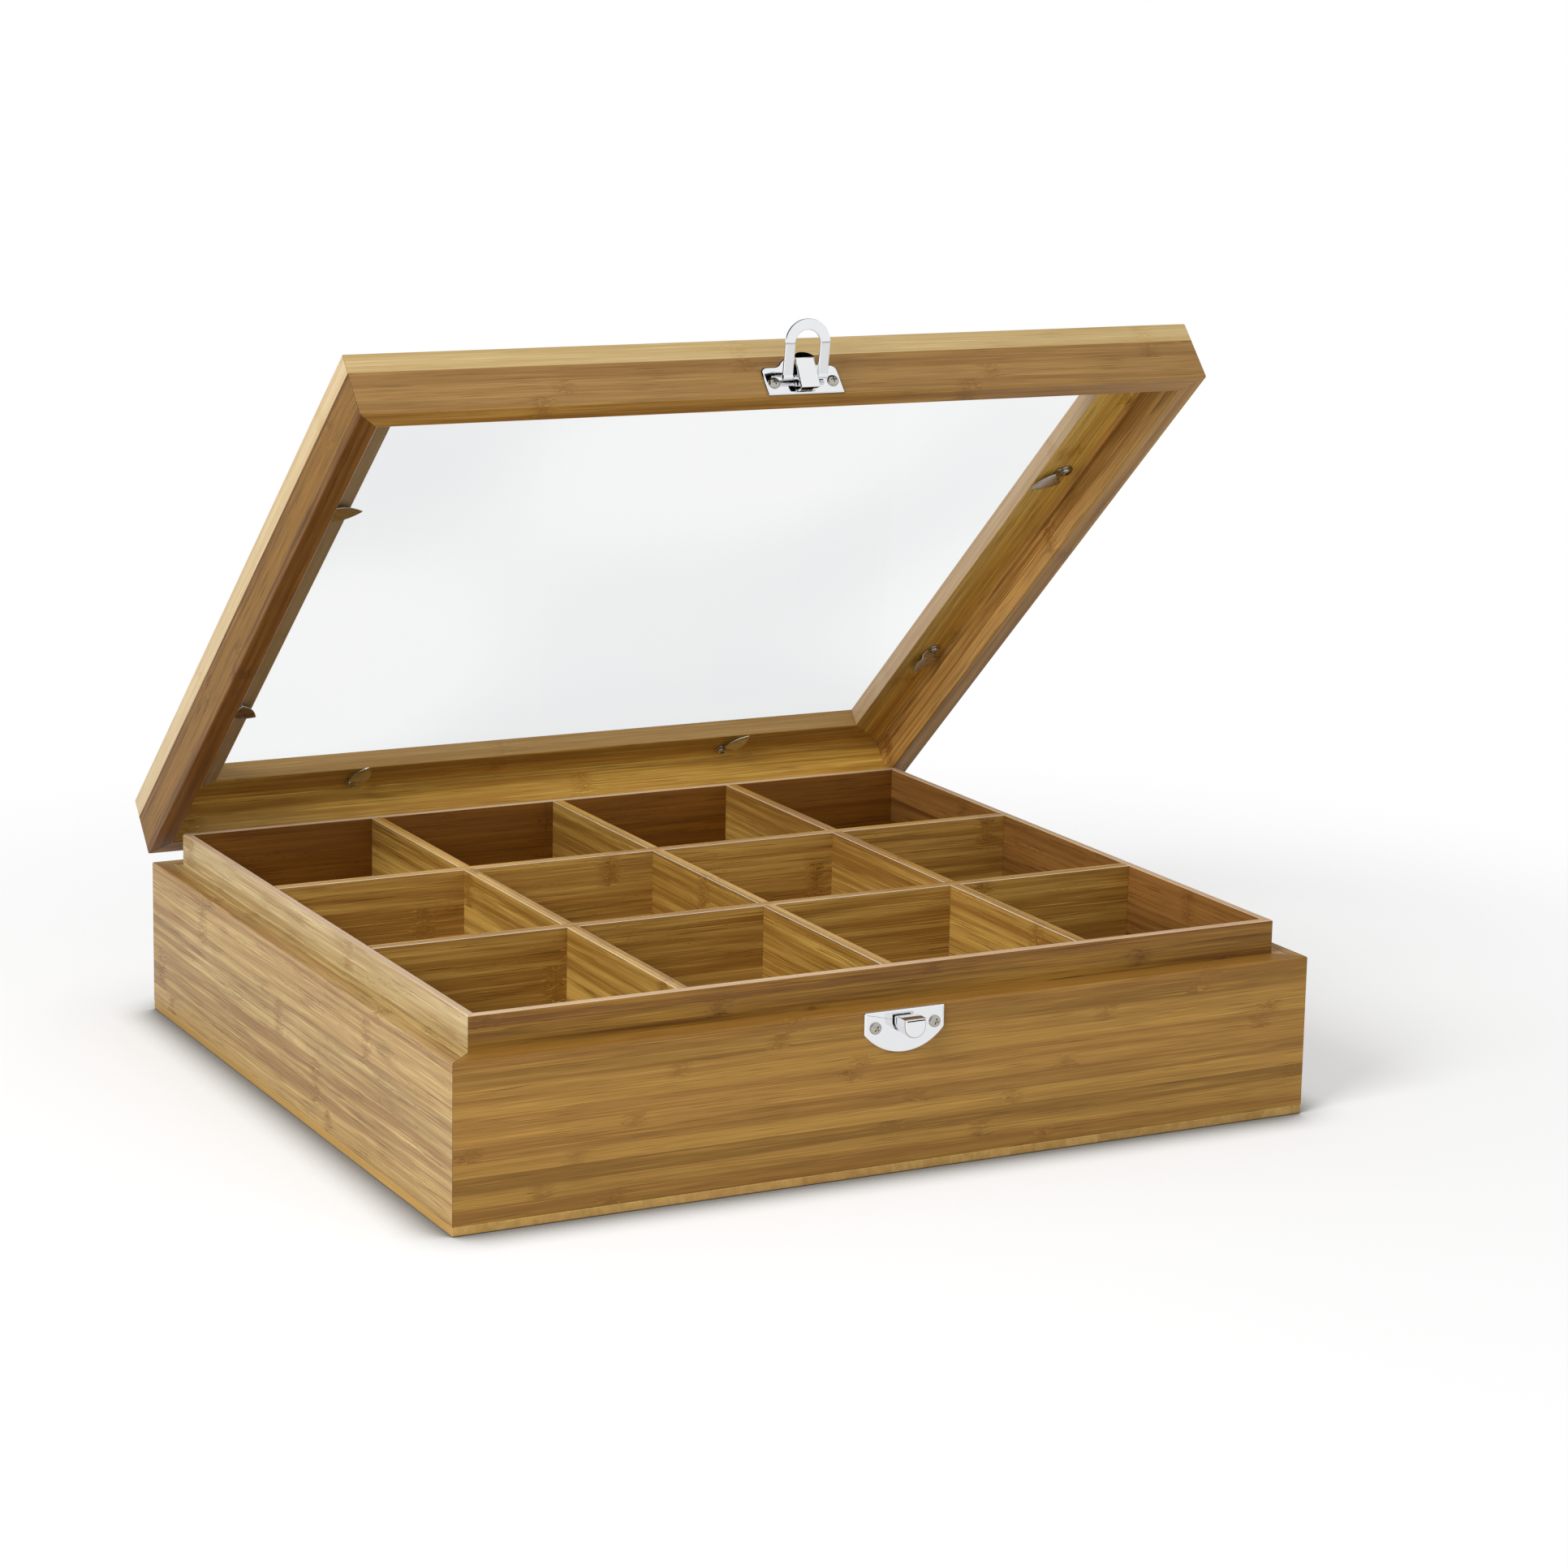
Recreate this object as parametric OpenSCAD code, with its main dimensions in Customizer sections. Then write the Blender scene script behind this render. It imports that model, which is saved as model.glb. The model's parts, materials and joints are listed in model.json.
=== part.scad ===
// Bamboo tea box with twelve compartments and a hinged lid with a glass pane.
// Millimetres, +Z up. The origin is the middle of the underside of the box.
// The lid is drawn closed and then opened about the hinge pins.

/* [Box] */
// Width of the box
box_w = 340; // [300:1:380]
// Depth of the box
box_d = 306; // [270:1:340]
// Height of the joint between the box and the lid
wall_top = 60; // [54:0.5:72]
// Thickness of the bottom panel
bottom_t = 3.3; // [2.4:0.1:5]
// Thickness of the outer walls
wall_t = 9.5; // [8.5:0.1:10.5]
// Thickness of the liner boards
liner_t = 3.2; // [2.5:0.1:4.5]
// How far the liner stands above the outer walls
liner_rise = 12.5; // [10:0.5:12.5]
// Chamfer on the long edges
edge_chamfer = 0.6; // [0.2:0.1:1]

/* [Dividers] */
// Thickness of the dividers
divider_t = 4.5; // [3:0.1:6]
// Clearance round the halved joints and at the divider ends
divider_play = 0.1; // [0.05:0.05:0.3]

/* [Lid] */
// Height of the lid rails
lid_h = 25; // [23.5:0.5:30]
// How much thinner the lid's rim is than the wall it stands on, so that it clears the liner
rim_play = 0.9; // [0.9:0.1:2]
// Depth of the lid under the ledge that carries the pane
ledge_h = 17; // [17:0.5:19]
// Width of the rails seen from above
rail_w = 25.5; // [23:0.5:30]
// How far the pane lies on the ledge
pane_lap = 5; // [3:0.5:7]
// Thickness of the glass pane
pane_t = 2; // [1.5:0.1:2]
// Angle that the lid stands open
lid_open = 41.5; // [0:0.5:100]

/* [Hinges] */
// Distance of each hinge's middle from the middle of the box
hinge_x = 100; // [60:1:120]
// Width of a hinge
hinge_w = 30; // [20:1:40]
// Height of a leaf on the wood
leaf_h = 14; // [12:0.5:16]
// Thickness of a leaf
leaf_t = 1.2; // [0.8:0.1:1.5]
// Distance of a leaf's screws from its ends
leaf_screw_in = 5; // [4:0.5:7]
// Distance of the pin behind the rear face
pin_back = 5; // [4.6:0.1:6]
// Distance of the pin below the joint
pin_drop = 5; // [4.4:0.1:6]
// Radius of the hinge knuckles
knuckle_r = 2.6; // [2.2:0.1:3]
// Radius of the hinge pin
pin_r = 1.1; // [0.8:0.05:1.3]

/* [Latch] */
// Width of the strike plate on the box
strike_w = 32; // [30:0.5:36]
// Height of the strike plate
strike_h = 15.8; // [15:0.1:17]
// Height of its straight sides
strike_side = 8.2; // [7:0.1:9]
// Width of the latch plate on the lid
latch_w = 30.6; // [29:0.2:34]
// Height of the latch plate's ears
latch_ear_h = 12.2; // [11.6:0.1:12.8]
// Radius of the latch plate's rounded head
latch_head_r = 9.2; // [8.5:0.1:10]
// Height of that head's centre above the joint
latch_head_h = 7.6; // [7:0.1:9]
// Thickness of the plates at their rim
plate_t = 0.6; // [0.4:0.1:0.6]
// Thickness of the plates in their raised middle
plate_mid_t = 1.1; // [0.9:0.1:1.1]
// Gap between the strike plate and the joint
strike_gap = 0.4; // [0.3:0.1:0.6]
// Gap between the latch plate and the joint
latch_gap = 0.1; // [0.1:0.1:0.4]
// Distance of the plate screws from the middle
plate_screw_x = 11.8; // [11.6:0.1:12.2]
// Distance of the strike plate's screws from the joint
strike_screw_h = 6.2; // [5:0.1:6.6]
// Distance of the latch plate's screws from the joint
latch_screw_h = 4.8; // [4.4:0.1:6]
// Height of the catch's boss
boss_h = 7; // [6.6:0.1:7.8]
// Distance of the boss's face in front of the box
boss_out = 9; // [8:0.1:9.4]
// Half width of the lever
lever_half_w = 3.95; // [3.8:0.05:4.1]
// Thickness of the lever's sheet
lever_t = 0.6; // [0.4:0.1:0.6]
// Distance of the lever's pin in front of the lid
lever_pin_out = 3.2; // [3.1:0.1:3.3]
// Height of the lever's pin above the joint
lever_pin_h = 2.7; // [2.6:0.1:3]
// Distance of the link's pivot in front of the lid
link_pin_out = 3.1; // [3.1:0.1:3.4]
// Height of the link's pivot above the joint
link_pin_h = 5.8; // [5.7:0.1:6.4]
// Length of the link's legs from the pivot to the bend
link_leg = 12; // [11.5:0.5:14]
// Inner radius of the link's arch
link_inner_r = 5; // [4.8:0.1:5.4]
// Width of the link's strap
link_strap = 4; // [3:0.1:4]
// Thickness of the link's strap
link_t = 1; // [0.8:0.1:1.2]
// Bend of the arch against the legs
link_bend = 10; // [0:1:15]
// Angle that the link leans out from the lid's front
link_lean = 50; // [10:1:80]

/* [Turn clips] */
// Distance of each clip's screw from the end of its rail
clip_from_corner = 86; // [60:1:110]
// Distance of the clip screws from the lid's outer face
clip_in = 14; // [13:0.1:14.5]
// Length of a clip from its screw to its tip
clip_reach = 15.6; // [13:0.1:17]
// Half width of the blade
clip_half_w = 4.3; // [3.4:0.1:4.5]
// Radius of the eye round the screw
clip_eye_r = 2.8; // [2.7:0.1:3]
// Thickness of the blade
blade_t = 0.8; // [0.5:0.1:0.9]

/* [Screws] */
// Radius of the screw heads
head_r = 2.2; // [1.8:0.1:2.3]
// Height of the screw heads
head_h = 1.1; // [0.8:0.1:1.1]
// Radius of the screw shanks
shank_r = 1.1; // [0.8:0.1:1.2]
// Length of the screws in the wood
shank_l = 6.5; // [5:0.5:7]
// Width of the cross recess
recess_w = 0.6; // [0.4:0.1:0.8]
// Depth of the cross recess
recess_depth = 0.7; // [0.4:0.1:0.8]

/* [Fits] */
// Radial clearance of a screw in its hole
hole_play = 0.05; // [0.03:0.01:0.1]
// Radial clearance of a pin or pivot that turns
pivot_play = 0.05; // [0.03:0.01:0.1]
// Gap between the shut lid and the walls under it
lid_gap = 0.1; // [0.05:0.05:0.5]
// Clearance between flat faces that slide past each other
slide_play = 0.1; // [0.05:0.05:0.2]

/* [Hidden] */

// Overlap that joins the shapes of one piece
join = 0.2;
// How far a cut runs past the face it opens
past = 1;
// Turned faces are smooth
$fn = 64;

// Compartments across the width and the depth, one divider node between each two
columns = 4;
rows = 3;

liner_top = wall_top + liner_rise;
rim_t = wall_t - rim_play;
inside_w = box_w - 2 * (wall_t + liner_t);
inside_d = box_d - 2 * (wall_t + liner_t);
cell_w = (inside_w - (columns - 1) * divider_t) / columns;
cell_d = (inside_d - (rows - 1) * divider_t) / rows;
divider_h = liner_top - bottom_t;
function long_x(i) = -inside_w / 2 + i * (cell_w + divider_t) - divider_t / 2;
function cross_y(j) = -inside_d / 2 + j * (cell_d + divider_t) - divider_t / 2;

pin_y = box_d / 2 + pin_back;
pin_z = wall_top - pin_drop;
knuckle_w = hinge_w / 3;
leaf_screw_x = hinge_w / 2 - leaf_screw_in;
web_gap = 0.3;
leaf_gap = 0.5;
// Height of a leaf's screws from the joint; level -1 is on the box, 1 on the lid
function leaf_screw_y(level) = level > 0 ? leaf_gap + leaf_h / 2 + 0.5 : -pin_drop - leaf_h / 2 - 0.5;

// Inset of the plates' raised middle, and the roundings of the latch plate's ears and beside its head
plate_bevel = 1;
ear_r = 2.5;
neck_r = 3;
neck_at = [sqrt(pow(latch_head_r + neck_r, 2) - pow(latch_ear_h + neck_r - latch_head_h, 2)),
    latch_ear_h + neck_r];

boss_neck_w = 6.6;
boss_head_w = 8.4;
boss_top = 2.2;
boss_bottom = boss_top + boss_h;
boss_lip = 1;
boss_neck_out = 3.6;

lever_foot = [0, 5.0];
lever_shoulder = [10.8, 7.4];
lever_lean = atan((lever_shoulder[1] - lever_foot[1]) / (lever_shoulder[0] - lever_foot[0]));
lever_knuckle_r = 1.9;
link_boss_r = 1.75;
link_tail = 1.2;
lever_pin_r = 0.7;
trunnion_r = 0.9;
tab_curl = 12;
tab_inset = 0.15;
// Lugs of the latch plate inside the lever's cheeks
lug_gap = 0.15;
lug_t = 0.8;
lug_r = 1.45;
// Straight cut of the cheeks behind the pivots
cheek_back = 0.4;

// Screw heads: dome radius and span of the cross against the head's radius, and the turn of the cross
head_dome = 1.6;
recess_span = 0.62;
recess_turn = 20;

pane_inset = rail_w - pane_lap;
clip_drop = pane_t + slide_play;
// Step of a clip, from the screw: its start and its end, kept clear of the pane's edge at every turn,
// and how far its lower corners lie ahead of its upper ones
step_room = 0.2;
step_start = clip_eye_r + 0.2;
step_end = sqrt(pow(pane_inset - clip_in - step_room, 2) - pow(clip_half_w, 2));
step_lean = 0.4;
// The clips: side of the lid (0 front, 1 rear, 2 left, 3 right), end (-1 or 1), turn from square
clip_list = [[0, -1, 15], [0, 1, -20], [1, -1, 10], [1, 1, 28],
    [2, -1, -8], [2, 1, 30], [3, -1, -35], [3, 1, -75]];
inward = [90, 270, 0, 180];
function clip_at(c) = [
    c[0] < 2 ? c[1] * (box_w / 2 - clip_from_corner) : (c[0] == 2 ? -1 : 1) * (box_w / 2 - clip_in),
    c[0] < 2 ? (c[0] == 0 ? -1 : 1) * (box_d / 2 - clip_in) : c[1] * (box_d / 2 - clip_from_corner)];

// ---- Frames of reference ----

// Turns what is drawn on the closed lid to where the open lid holds it
module on_open_lid() {
    translate([0, pin_y, pin_z]) rotate([-lid_open, 0, 0]) translate([0, -pin_y, -pin_z]) children();
}

// Front face: x to the right, y up from the joint, z out of the wood
module on_front() {
    translate([0, -box_d / 2, wall_top]) rotate([90, 0, 0]) children();
}

// Rear face: x to the left, y up from the joint, z out of the wood
module on_rear() {
    translate([0, box_d / 2, wall_top]) rotate([90, 0, 180]) children();
}

// Draws a section given as [y, z] along x, from x0 for a length of w
module along_x(x0, w) {
    translate([x0, 0, 0]) rotate([90, 0, 90]) linear_extrude(w) children();
}

// ---- Shared shapes ----

// Board along x with mitred ends, its outer face at y = 0; section is a list of [y, z] points
module mitred_board(length, width, section) {
    c = edge_chamfer;
    intersection() {
        translate([-length / 2, 0, 0]) rotate([90, 0, 90]) linear_extrude(length) polygon(section);
        translate([0, 0, -past]) linear_extrude(wall_top + lid_h + 2 * past) polygon([
            [-length / 2 + c, 0], [length / 2 - c, 0], [length / 2 - c / 2, c / 2],
            [length / 2 - width, width], [-length / 2 + width, width], [-length / 2 + c / 2, c / 2]]);
    }
}

// Puts a board that was drawn along x on a side of a frame of w by d (0 front, 1 rear, 2 left, 3 right)
module on_side(side, w, d) {
    turn = [0, 180, -90, 90][side];
    offset_y = side < 2 ? d / 2 : w / 2;
    rotate([0, 0, turn]) translate([0, -offset_y, 0]) children();
}

module wall(side) {
    length = side < 2 ? box_w : box_d;
    c = edge_chamfer;
    color("burlywood") on_side(side, box_w, box_d) mitred_board(length, wall_t, [
        [0, bottom_t], [wall_t, bottom_t], [wall_t, wall_top - lid_gap], [c, wall_top - lid_gap],
        [0, wall_top - lid_gap - c]]);
}

module liner(side) {
    w = box_w - 2 * wall_t;
    d = box_d - 2 * wall_t;
    c = edge_chamfer;
    color("tan") on_side(side, w, d) mitred_board(side < 2 ? w : d, liner_t, [
        [0, bottom_t], [liner_t, bottom_t], [liner_t, liner_top - c / 2], [liner_t - c / 2, liner_top],
        [c, liner_top], [0, liner_top - c]]);
}

// Rail of the lid: a rim that stands on the wall, and a lip that carries the pane from above
module lid_rail(side) {
    length = side < 2 ? box_w : box_d;
    c = edge_chamfer;
    color("burlywood") on_side(side, box_w, box_d) translate([0, 0, wall_top]) mitred_board(length, rail_w, [
        [c, 0], [rim_t - c, 0], [rim_t, c], [rim_t, ledge_h], [rail_w, ledge_h],
        [rail_w, lid_h - c], [rail_w - c, lid_h], [c, lid_h], [0, lid_h - c], [0, c]]);
}

// Pan-head screw along z, its head's underside at z = 0
module screw(length) {
    difference() {
        union() {
            intersection() {
                cylinder(h = head_h, r = head_r);
                translate([0, 0, head_h - head_r * head_dome]) sphere(r = head_r * head_dome);
            }
            translate([0, 0, -length]) cylinder(h = length + join, r = shank_r);
        }
        for (a = [0, 90]) rotate([0, 0, a + recess_turn])
            translate([-head_r * recess_span, -recess_w / 2, head_h - recess_depth])
                cube([2 * head_r * recess_span, recess_w, recess_depth + past]);
    }
}

// Hole for a screw, from z = from_z down into the wood
module screw_hole(from_z, length) {
    translate([0, 0, -length - past / 2])
        cylinder(h = length + from_z + 1.5 * past, r = shank_r + hole_play);
}

module plate_screw_places(h) {
    for (x = [-plate_screw_x, plate_screw_x]) translate([x, h, 0]) children();
}

// ---- Box ----

module bottom_panel() {
    color("wheat") translate([-box_w / 2, -box_d / 2, 0]) cube([box_w, box_d, bottom_t]);
}

module front_wall() {
    difference() {
        wall(0);
        on_front() plate_screw_places(-strike_screw_h) screw_hole(0, shank_l);
    }
}

module rear_wall() {
    difference() {
        wall(1);
        leaf_screw_places(-1) screw_hole(0, shank_l);
    }
}

// Runs from front to rear, with halved joints open at its top
module long_divider(i) {
    color("peru") difference() {
        translate([long_x(i) - divider_t / 2, -inside_d / 2 + divider_play, bottom_t])
            cube([divider_t, inside_d - 2 * divider_play, divider_h]);
        for (j = [1 : rows - 1])
            translate([long_x(i) - divider_t, cross_y(j) - divider_t / 2 - divider_play,
                bottom_t + divider_h / 2 - divider_play])
                cube([2 * divider_t, divider_t + 2 * divider_play, divider_h]);
    }
}

// Runs from left to right, with halved joints open at its foot
module cross_divider(j) {
    color("peru") difference() {
        translate([-inside_w / 2 + divider_play, cross_y(j) - divider_t / 2, bottom_t])
            cube([inside_w - 2 * divider_play, divider_t, divider_h]);
        for (i = [1 : columns - 1])
            translate([long_x(i) - divider_t / 2 - divider_play, cross_y(j) - divider_t,
                bottom_t - divider_h / 2])
                cube([divider_t + 2 * divider_play, 2 * divider_t, divider_h]);
    }
}

// ---- Hinges ----

// Screw places of both hinges; level -1 is on the box, 1 on the lid
module leaf_screw_places(level) {
    on_rear() for (x = [-hinge_x, hinge_x], s = [-leaf_screw_x, leaf_screw_x])
        translate([x + s, leaf_screw_y(level), 0]) children();
}

// Leaf on the rear face; the box leaf has the outer knuckles and the lid leaf the middle one
module hinge_leaf(x, level) {
    middle = knuckle_w - 2 * slide_play;
    parts = level > 0 ? [[-middle / 2, middle]]
        : [[-hinge_w / 2, knuckle_w], [hinge_w / 2 - knuckle_w, knuckle_w]];
    y0 = level > 0 ? leaf_gap : -pin_drop - leaf_h;
    knuckle_top = -pin_drop + knuckle_r;
    color("silver") on_rear() translate([x, 0, 0]) difference() {
        union() {
            translate([-hinge_w / 2, y0, 0]) cube([hinge_w, leaf_h, leaf_t]);
            for (p = parts) along_x(p[0], p[1]) {
                translate([-pin_drop, pin_back]) circle(r = knuckle_r);
                if (level > 0) polygon([
                    [leaf_gap + join, web_gap], [leaf_gap + join, web_gap + leaf_t],
                    [knuckle_top, web_gap + leaf_t], [knuckle_top, pin_back],
                    [knuckle_top - leaf_t, pin_back], [knuckle_top - leaf_t, web_gap]]);
                else translate([-pin_drop - knuckle_r, 0]) square([leaf_t, pin_back]);
            }
        }
        along_x(-hinge_w, 2 * hinge_w) translate([-pin_drop, pin_back])
            circle(r = pin_r + (level > 0 ? pivot_play : hole_play));
        for (s = [-leaf_screw_x, leaf_screw_x]) translate([s, leaf_screw_y(level), 0]) screw_hole(leaf_t, 0);
    }
}

module hinge_pin(x) {
    color("silver") on_rear() along_x(x - hinge_w / 2, hinge_w)
        translate([-pin_drop, pin_back]) circle(r = pin_r);
}

module hinge_base_screws() {
    color("gainsboro") leaf_screw_places(-1) translate([0, 0, leaf_t]) screw(shank_l);
}

module hinge_lid_screws() {
    color("gainsboro") on_open_lid() leaf_screw_places(1) translate([0, 0, leaf_t]) screw(shank_l);
}

// ---- Catch on the box ----

module strike_outline(inset) {
    corner_r = (pow(strike_w / 2, 2) + pow(strike_h - strike_side, 2)) / (2 * (strike_h - strike_side));
    intersection() {
        translate([-strike_w / 2 + inset, -strike_gap - strike_h + inset])
            square([strike_w - 2 * inset, strike_h - 2 * inset]);
        translate([0, -strike_gap - strike_h + corner_r]) circle(r = corner_r - inset, $fn = 128);
    }
}

// Boss that the link's arch hooks under: a flat top and a round underside
module boss_section(w, top, bottom) {
    translate([-w / 2, -bottom + w / 2]) square([w, bottom - top - w / 2]);
    translate([0, -bottom + w / 2]) circle(r = w / 2);
}

module strike_plate() {
    color("lightgrey") on_front() difference() {
        union() {
            linear_extrude(plate_t) strike_outline(0);
            linear_extrude(plate_mid_t) strike_outline(plate_bevel);
            linear_extrude(boss_out - join)
                boss_section(boss_neck_w, boss_top + boss_lip, boss_bottom - boss_lip);
            translate([0, 0, boss_neck_out]) linear_extrude(boss_out - boss_neck_out)
                boss_section(boss_head_w, boss_top, boss_bottom);
        }
        plate_screw_places(-strike_screw_h) screw_hole(plate_mid_t, 0);
    }
}

module strike_screws() {
    color("gainsboro") on_front() plate_screw_places(-strike_screw_h)
        translate([0, 0, plate_mid_t]) screw(shank_l);
}

// ---- Lid ----

module lid_rail_front() {
    on_open_lid() difference() {
        lid_rail(0);
        on_front() plate_screw_places(latch_screw_h) screw_hole(0, shank_l);
        clip_holes(0);
    }
}

module lid_rail_rear() {
    on_open_lid() difference() {
        lid_rail(1);
        leaf_screw_places(1) screw_hole(0, shank_l);
        clip_holes(1);
    }
}

module lid_rail_left() {
    on_open_lid() difference() {
        lid_rail(2);
        clip_holes(2);
    }
}

module lid_rail_right() {
    on_open_lid() difference() {
        lid_rail(3);
        clip_holes(3);
    }
}

module glass_pane() {
    color("lightblue", 0.4) on_open_lid()
        translate([-box_w / 2 + pane_inset, -box_d / 2 + pane_inset, wall_top + ledge_h - pane_t])
            cube([box_w - 2 * pane_inset, box_d - 2 * pane_inset, pane_t]);
}

// ---- Turn clips ----

// Stands at a clip's screw on the underside of the ledge, z pointing down into the lid
module at_clip(c) {
    translate([clip_at(c)[0], clip_at(c)[1], wall_top + ledge_h]) mirror([0, 0, 1]) children();
}

module clip_holes(side) {
    for (c = clip_list) if (c[0] == side) at_clip(c) screw_hole(0, shank_l);
}

// Pointed blade outline along x, from the screw to the tip
module blade_outline() {
    half_l = (clip_reach + clip_eye_r) / 2;
    arc_r = (half_l * half_l + clip_half_w * clip_half_w) / (2 * clip_half_w);
    translate([clip_reach - half_l, 0]) intersection() {
        translate([0, arc_r - clip_half_w]) circle(r = arc_r, $fn = 128);
        translate([0, -arc_r + clip_half_w]) circle(r = arc_r, $fn = 128);
    }
}

// Side view of a clip as [x, z]: flat at the screw, then a step down to the pane
module clip_side() {
    polygon([[-2 * clip_reach, slide_play], [step_start, slide_play], [step_end, clip_drop],
        [2 * clip_reach, clip_drop], [2 * clip_reach, clip_drop + blade_t],
        [step_end - step_lean, clip_drop + blade_t], [step_start - step_lean, slide_play + blade_t],
        [-2 * clip_reach, slide_play + blade_t]]);
}

module turn_clip(c) {
    color("silver") on_open_lid() at_clip(c) rotate([0, 0, inward[c[0]] + c[2]]) difference() {
        intersection() {
            linear_extrude(clip_drop + 2 * blade_t) union() {
                circle(r = clip_eye_r);
                blade_outline();
            }
            rotate([90, 0, 0]) translate([0, 0, -clip_reach]) linear_extrude(2 * clip_reach) clip_side();
        }
        translate([0, 0, -past]) cylinder(h = clip_drop + blade_t + 2 * past, r = shank_r + pivot_play);
    }
}

module turn_clip_screws() {
    color("gainsboro") on_open_lid() for (c = clip_list) at_clip(c)
        translate([0, 0, 1.5 * slide_play + blade_t]) screw(shank_l + slide_play + blade_t);
}

// ---- Latch on the lid ----

module latch_outline(inset) {
    w = latch_w / 2 - inset;
    top = latch_ear_h - inset;
    touch = (latch_head_r - inset) / (latch_head_r + neck_r);
    intersection() {
        union() {
            translate([-w, latch_gap]) square([2 * w, latch_ear_h - ear_r - latch_gap]);
            translate([-w + ear_r - inset, latch_gap])
                square([2 * (w - ear_r + inset), latch_ear_h - latch_gap - inset]);
            for (s = [-1, 1])
                translate([s * (w - ear_r + inset), latch_ear_h - ear_r]) circle(r = ear_r - inset);
            translate([0, latch_head_h]) circle(r = latch_head_r - inset);
            for (s = [0, 1]) mirror([s, 0]) difference() {
                polygon([[0, top - ear_r], [neck_at[0], top - ear_r], [neck_at[0], top],
                    [neck_at[0] * touch, latch_head_h + (neck_at[1] - latch_head_h) * touch],
                    [0, latch_head_h + (neck_at[1] - latch_head_h) * touch]]);
                translate(neck_at) circle(r = neck_r + inset);
            }
        }
        translate([-latch_w, latch_gap + inset]) square([2 * latch_w, 2 * latch_w]);
    }
}

// Two lugs that carry the lever's pin stand inside the lever
module latch_plate() {
    lug_x = lever_half_w - lever_t - lug_gap;
    color("lightgrey") on_open_lid() on_front() difference() {
        union() {
            linear_extrude(plate_t) latch_outline(0);
            linear_extrude(plate_mid_t) latch_outline(plate_bevel);
            for (x0 = [-lug_x, lug_x - lug_t]) along_x(x0, lug_t) {
                translate([lever_pin_h, lever_pin_out]) circle(r = lug_r);
                translate([lever_pin_h - lug_r, plate_mid_t - join])
                    square([2 * lug_r, lever_pin_out - plate_mid_t + join]);
            }
        }
        along_x(-latch_w, 2 * latch_w)
            translate([lever_pin_h, lever_pin_out]) circle(r = lever_pin_r + hole_play);
        plate_screw_places(latch_screw_h) screw_hole(plate_mid_t, 0);
    }
}

module latch_screws() {
    color("gainsboro") on_open_lid() on_front() plate_screw_places(latch_screw_h)
        translate([0, 0, plate_mid_t]) screw(shank_l);
}

module latch_lever_pin() {
    color("silver") on_open_lid() on_front() along_x(-lever_half_w, 2 * lever_half_w)
        translate([lever_pin_h, lever_pin_out]) circle(r = lever_pin_r);
}

// Folded box lever: two cheeks, a front that leans out and a rounded thumb tab on top
module latch_lever() {
    inner = lever_t * [sin(lever_lean), -cos(lever_lean)];
    color("lightgrey") on_open_lid() on_front() difference() {
        union() {
            for (x0 = [-lever_half_w, lever_half_w - lever_t]) along_x(x0, lever_t) {
                translate([lever_pin_h, lever_pin_out]) circle(r = lever_knuckle_r);
                translate([link_pin_h, link_pin_out]) circle(r = link_boss_r);
                polygon([lever_foot, lever_shoulder, [lever_shoulder[0], link_pin_out],
                    [link_pin_h, link_pin_out - link_boss_r + cheek_back],
                    [lever_pin_h, lever_pin_out - lever_knuckle_r + cheek_back]]);
            }
            along_x(-lever_half_w, 2 * lever_half_w)
                polygon([lever_foot, lever_shoulder, lever_shoulder + inner, lever_foot + inner]);
            translate([0, lever_shoulder[0], lever_shoulder[1]]) rotate([lever_lean - 2 * tab_curl, 0, 0])
                translate([0, -join, -lever_t]) linear_extrude(lever_t) difference() {
                    circle(r = lever_half_w - tab_inset);
                    translate([-2 * lever_half_w, -2 * lever_half_w])
                        square([4 * lever_half_w, 2 * lever_half_w]);
                }
        }
        along_x(-latch_w, 2 * latch_w) {
            translate([lever_pin_h, lever_pin_out]) circle(r = lever_pin_r + pivot_play);
            translate([link_pin_h, link_pin_out]) circle(r = trunnion_r + pivot_play);
        }
    }
}

// Flat strap bent to a U, with a round end and a trunnion on each leg
module latch_link() {
    outer_r = link_inner_r + link_strap;
    trunnion_x = lever_half_w - lever_t - lug_gap;
    trunnion_l = outer_r - join - trunnion_x;
    color("whitesmoke") on_open_lid() on_front()
        translate([0, link_pin_h, link_pin_out]) rotate([link_lean, 0, 0]) {
        for (s = [-1, 1]) {
            translate([s > 0 ? link_inner_r : -outer_r, -link_tail, -link_t / 2])
                cube([link_strap, link_leg + link_tail, link_t]);
            translate([s > 0 ? trunnion_x : -trunnion_x - trunnion_l, 0, 0]) rotate([0, 90, 0])
                cylinder(h = trunnion_l, r = trunnion_r);
        }
        translate([0, link_leg, 0]) rotate([-link_bend, 0, 0]) translate([0, 0, -link_t / 2])
            linear_extrude(link_t) difference() {
                union() {
                    circle(r = outer_r);
                    translate([-outer_r, -join]) square([2 * outer_r, join]);
                }
                circle(r = link_inner_r);
                translate([-link_inner_r, -outer_r]) square([2 * link_inner_r, outer_r]);
                translate([-2 * outer_r, -2 * outer_r - join]) square([4 * outer_r, 2 * outer_r]);
            }
    }
}

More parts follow.
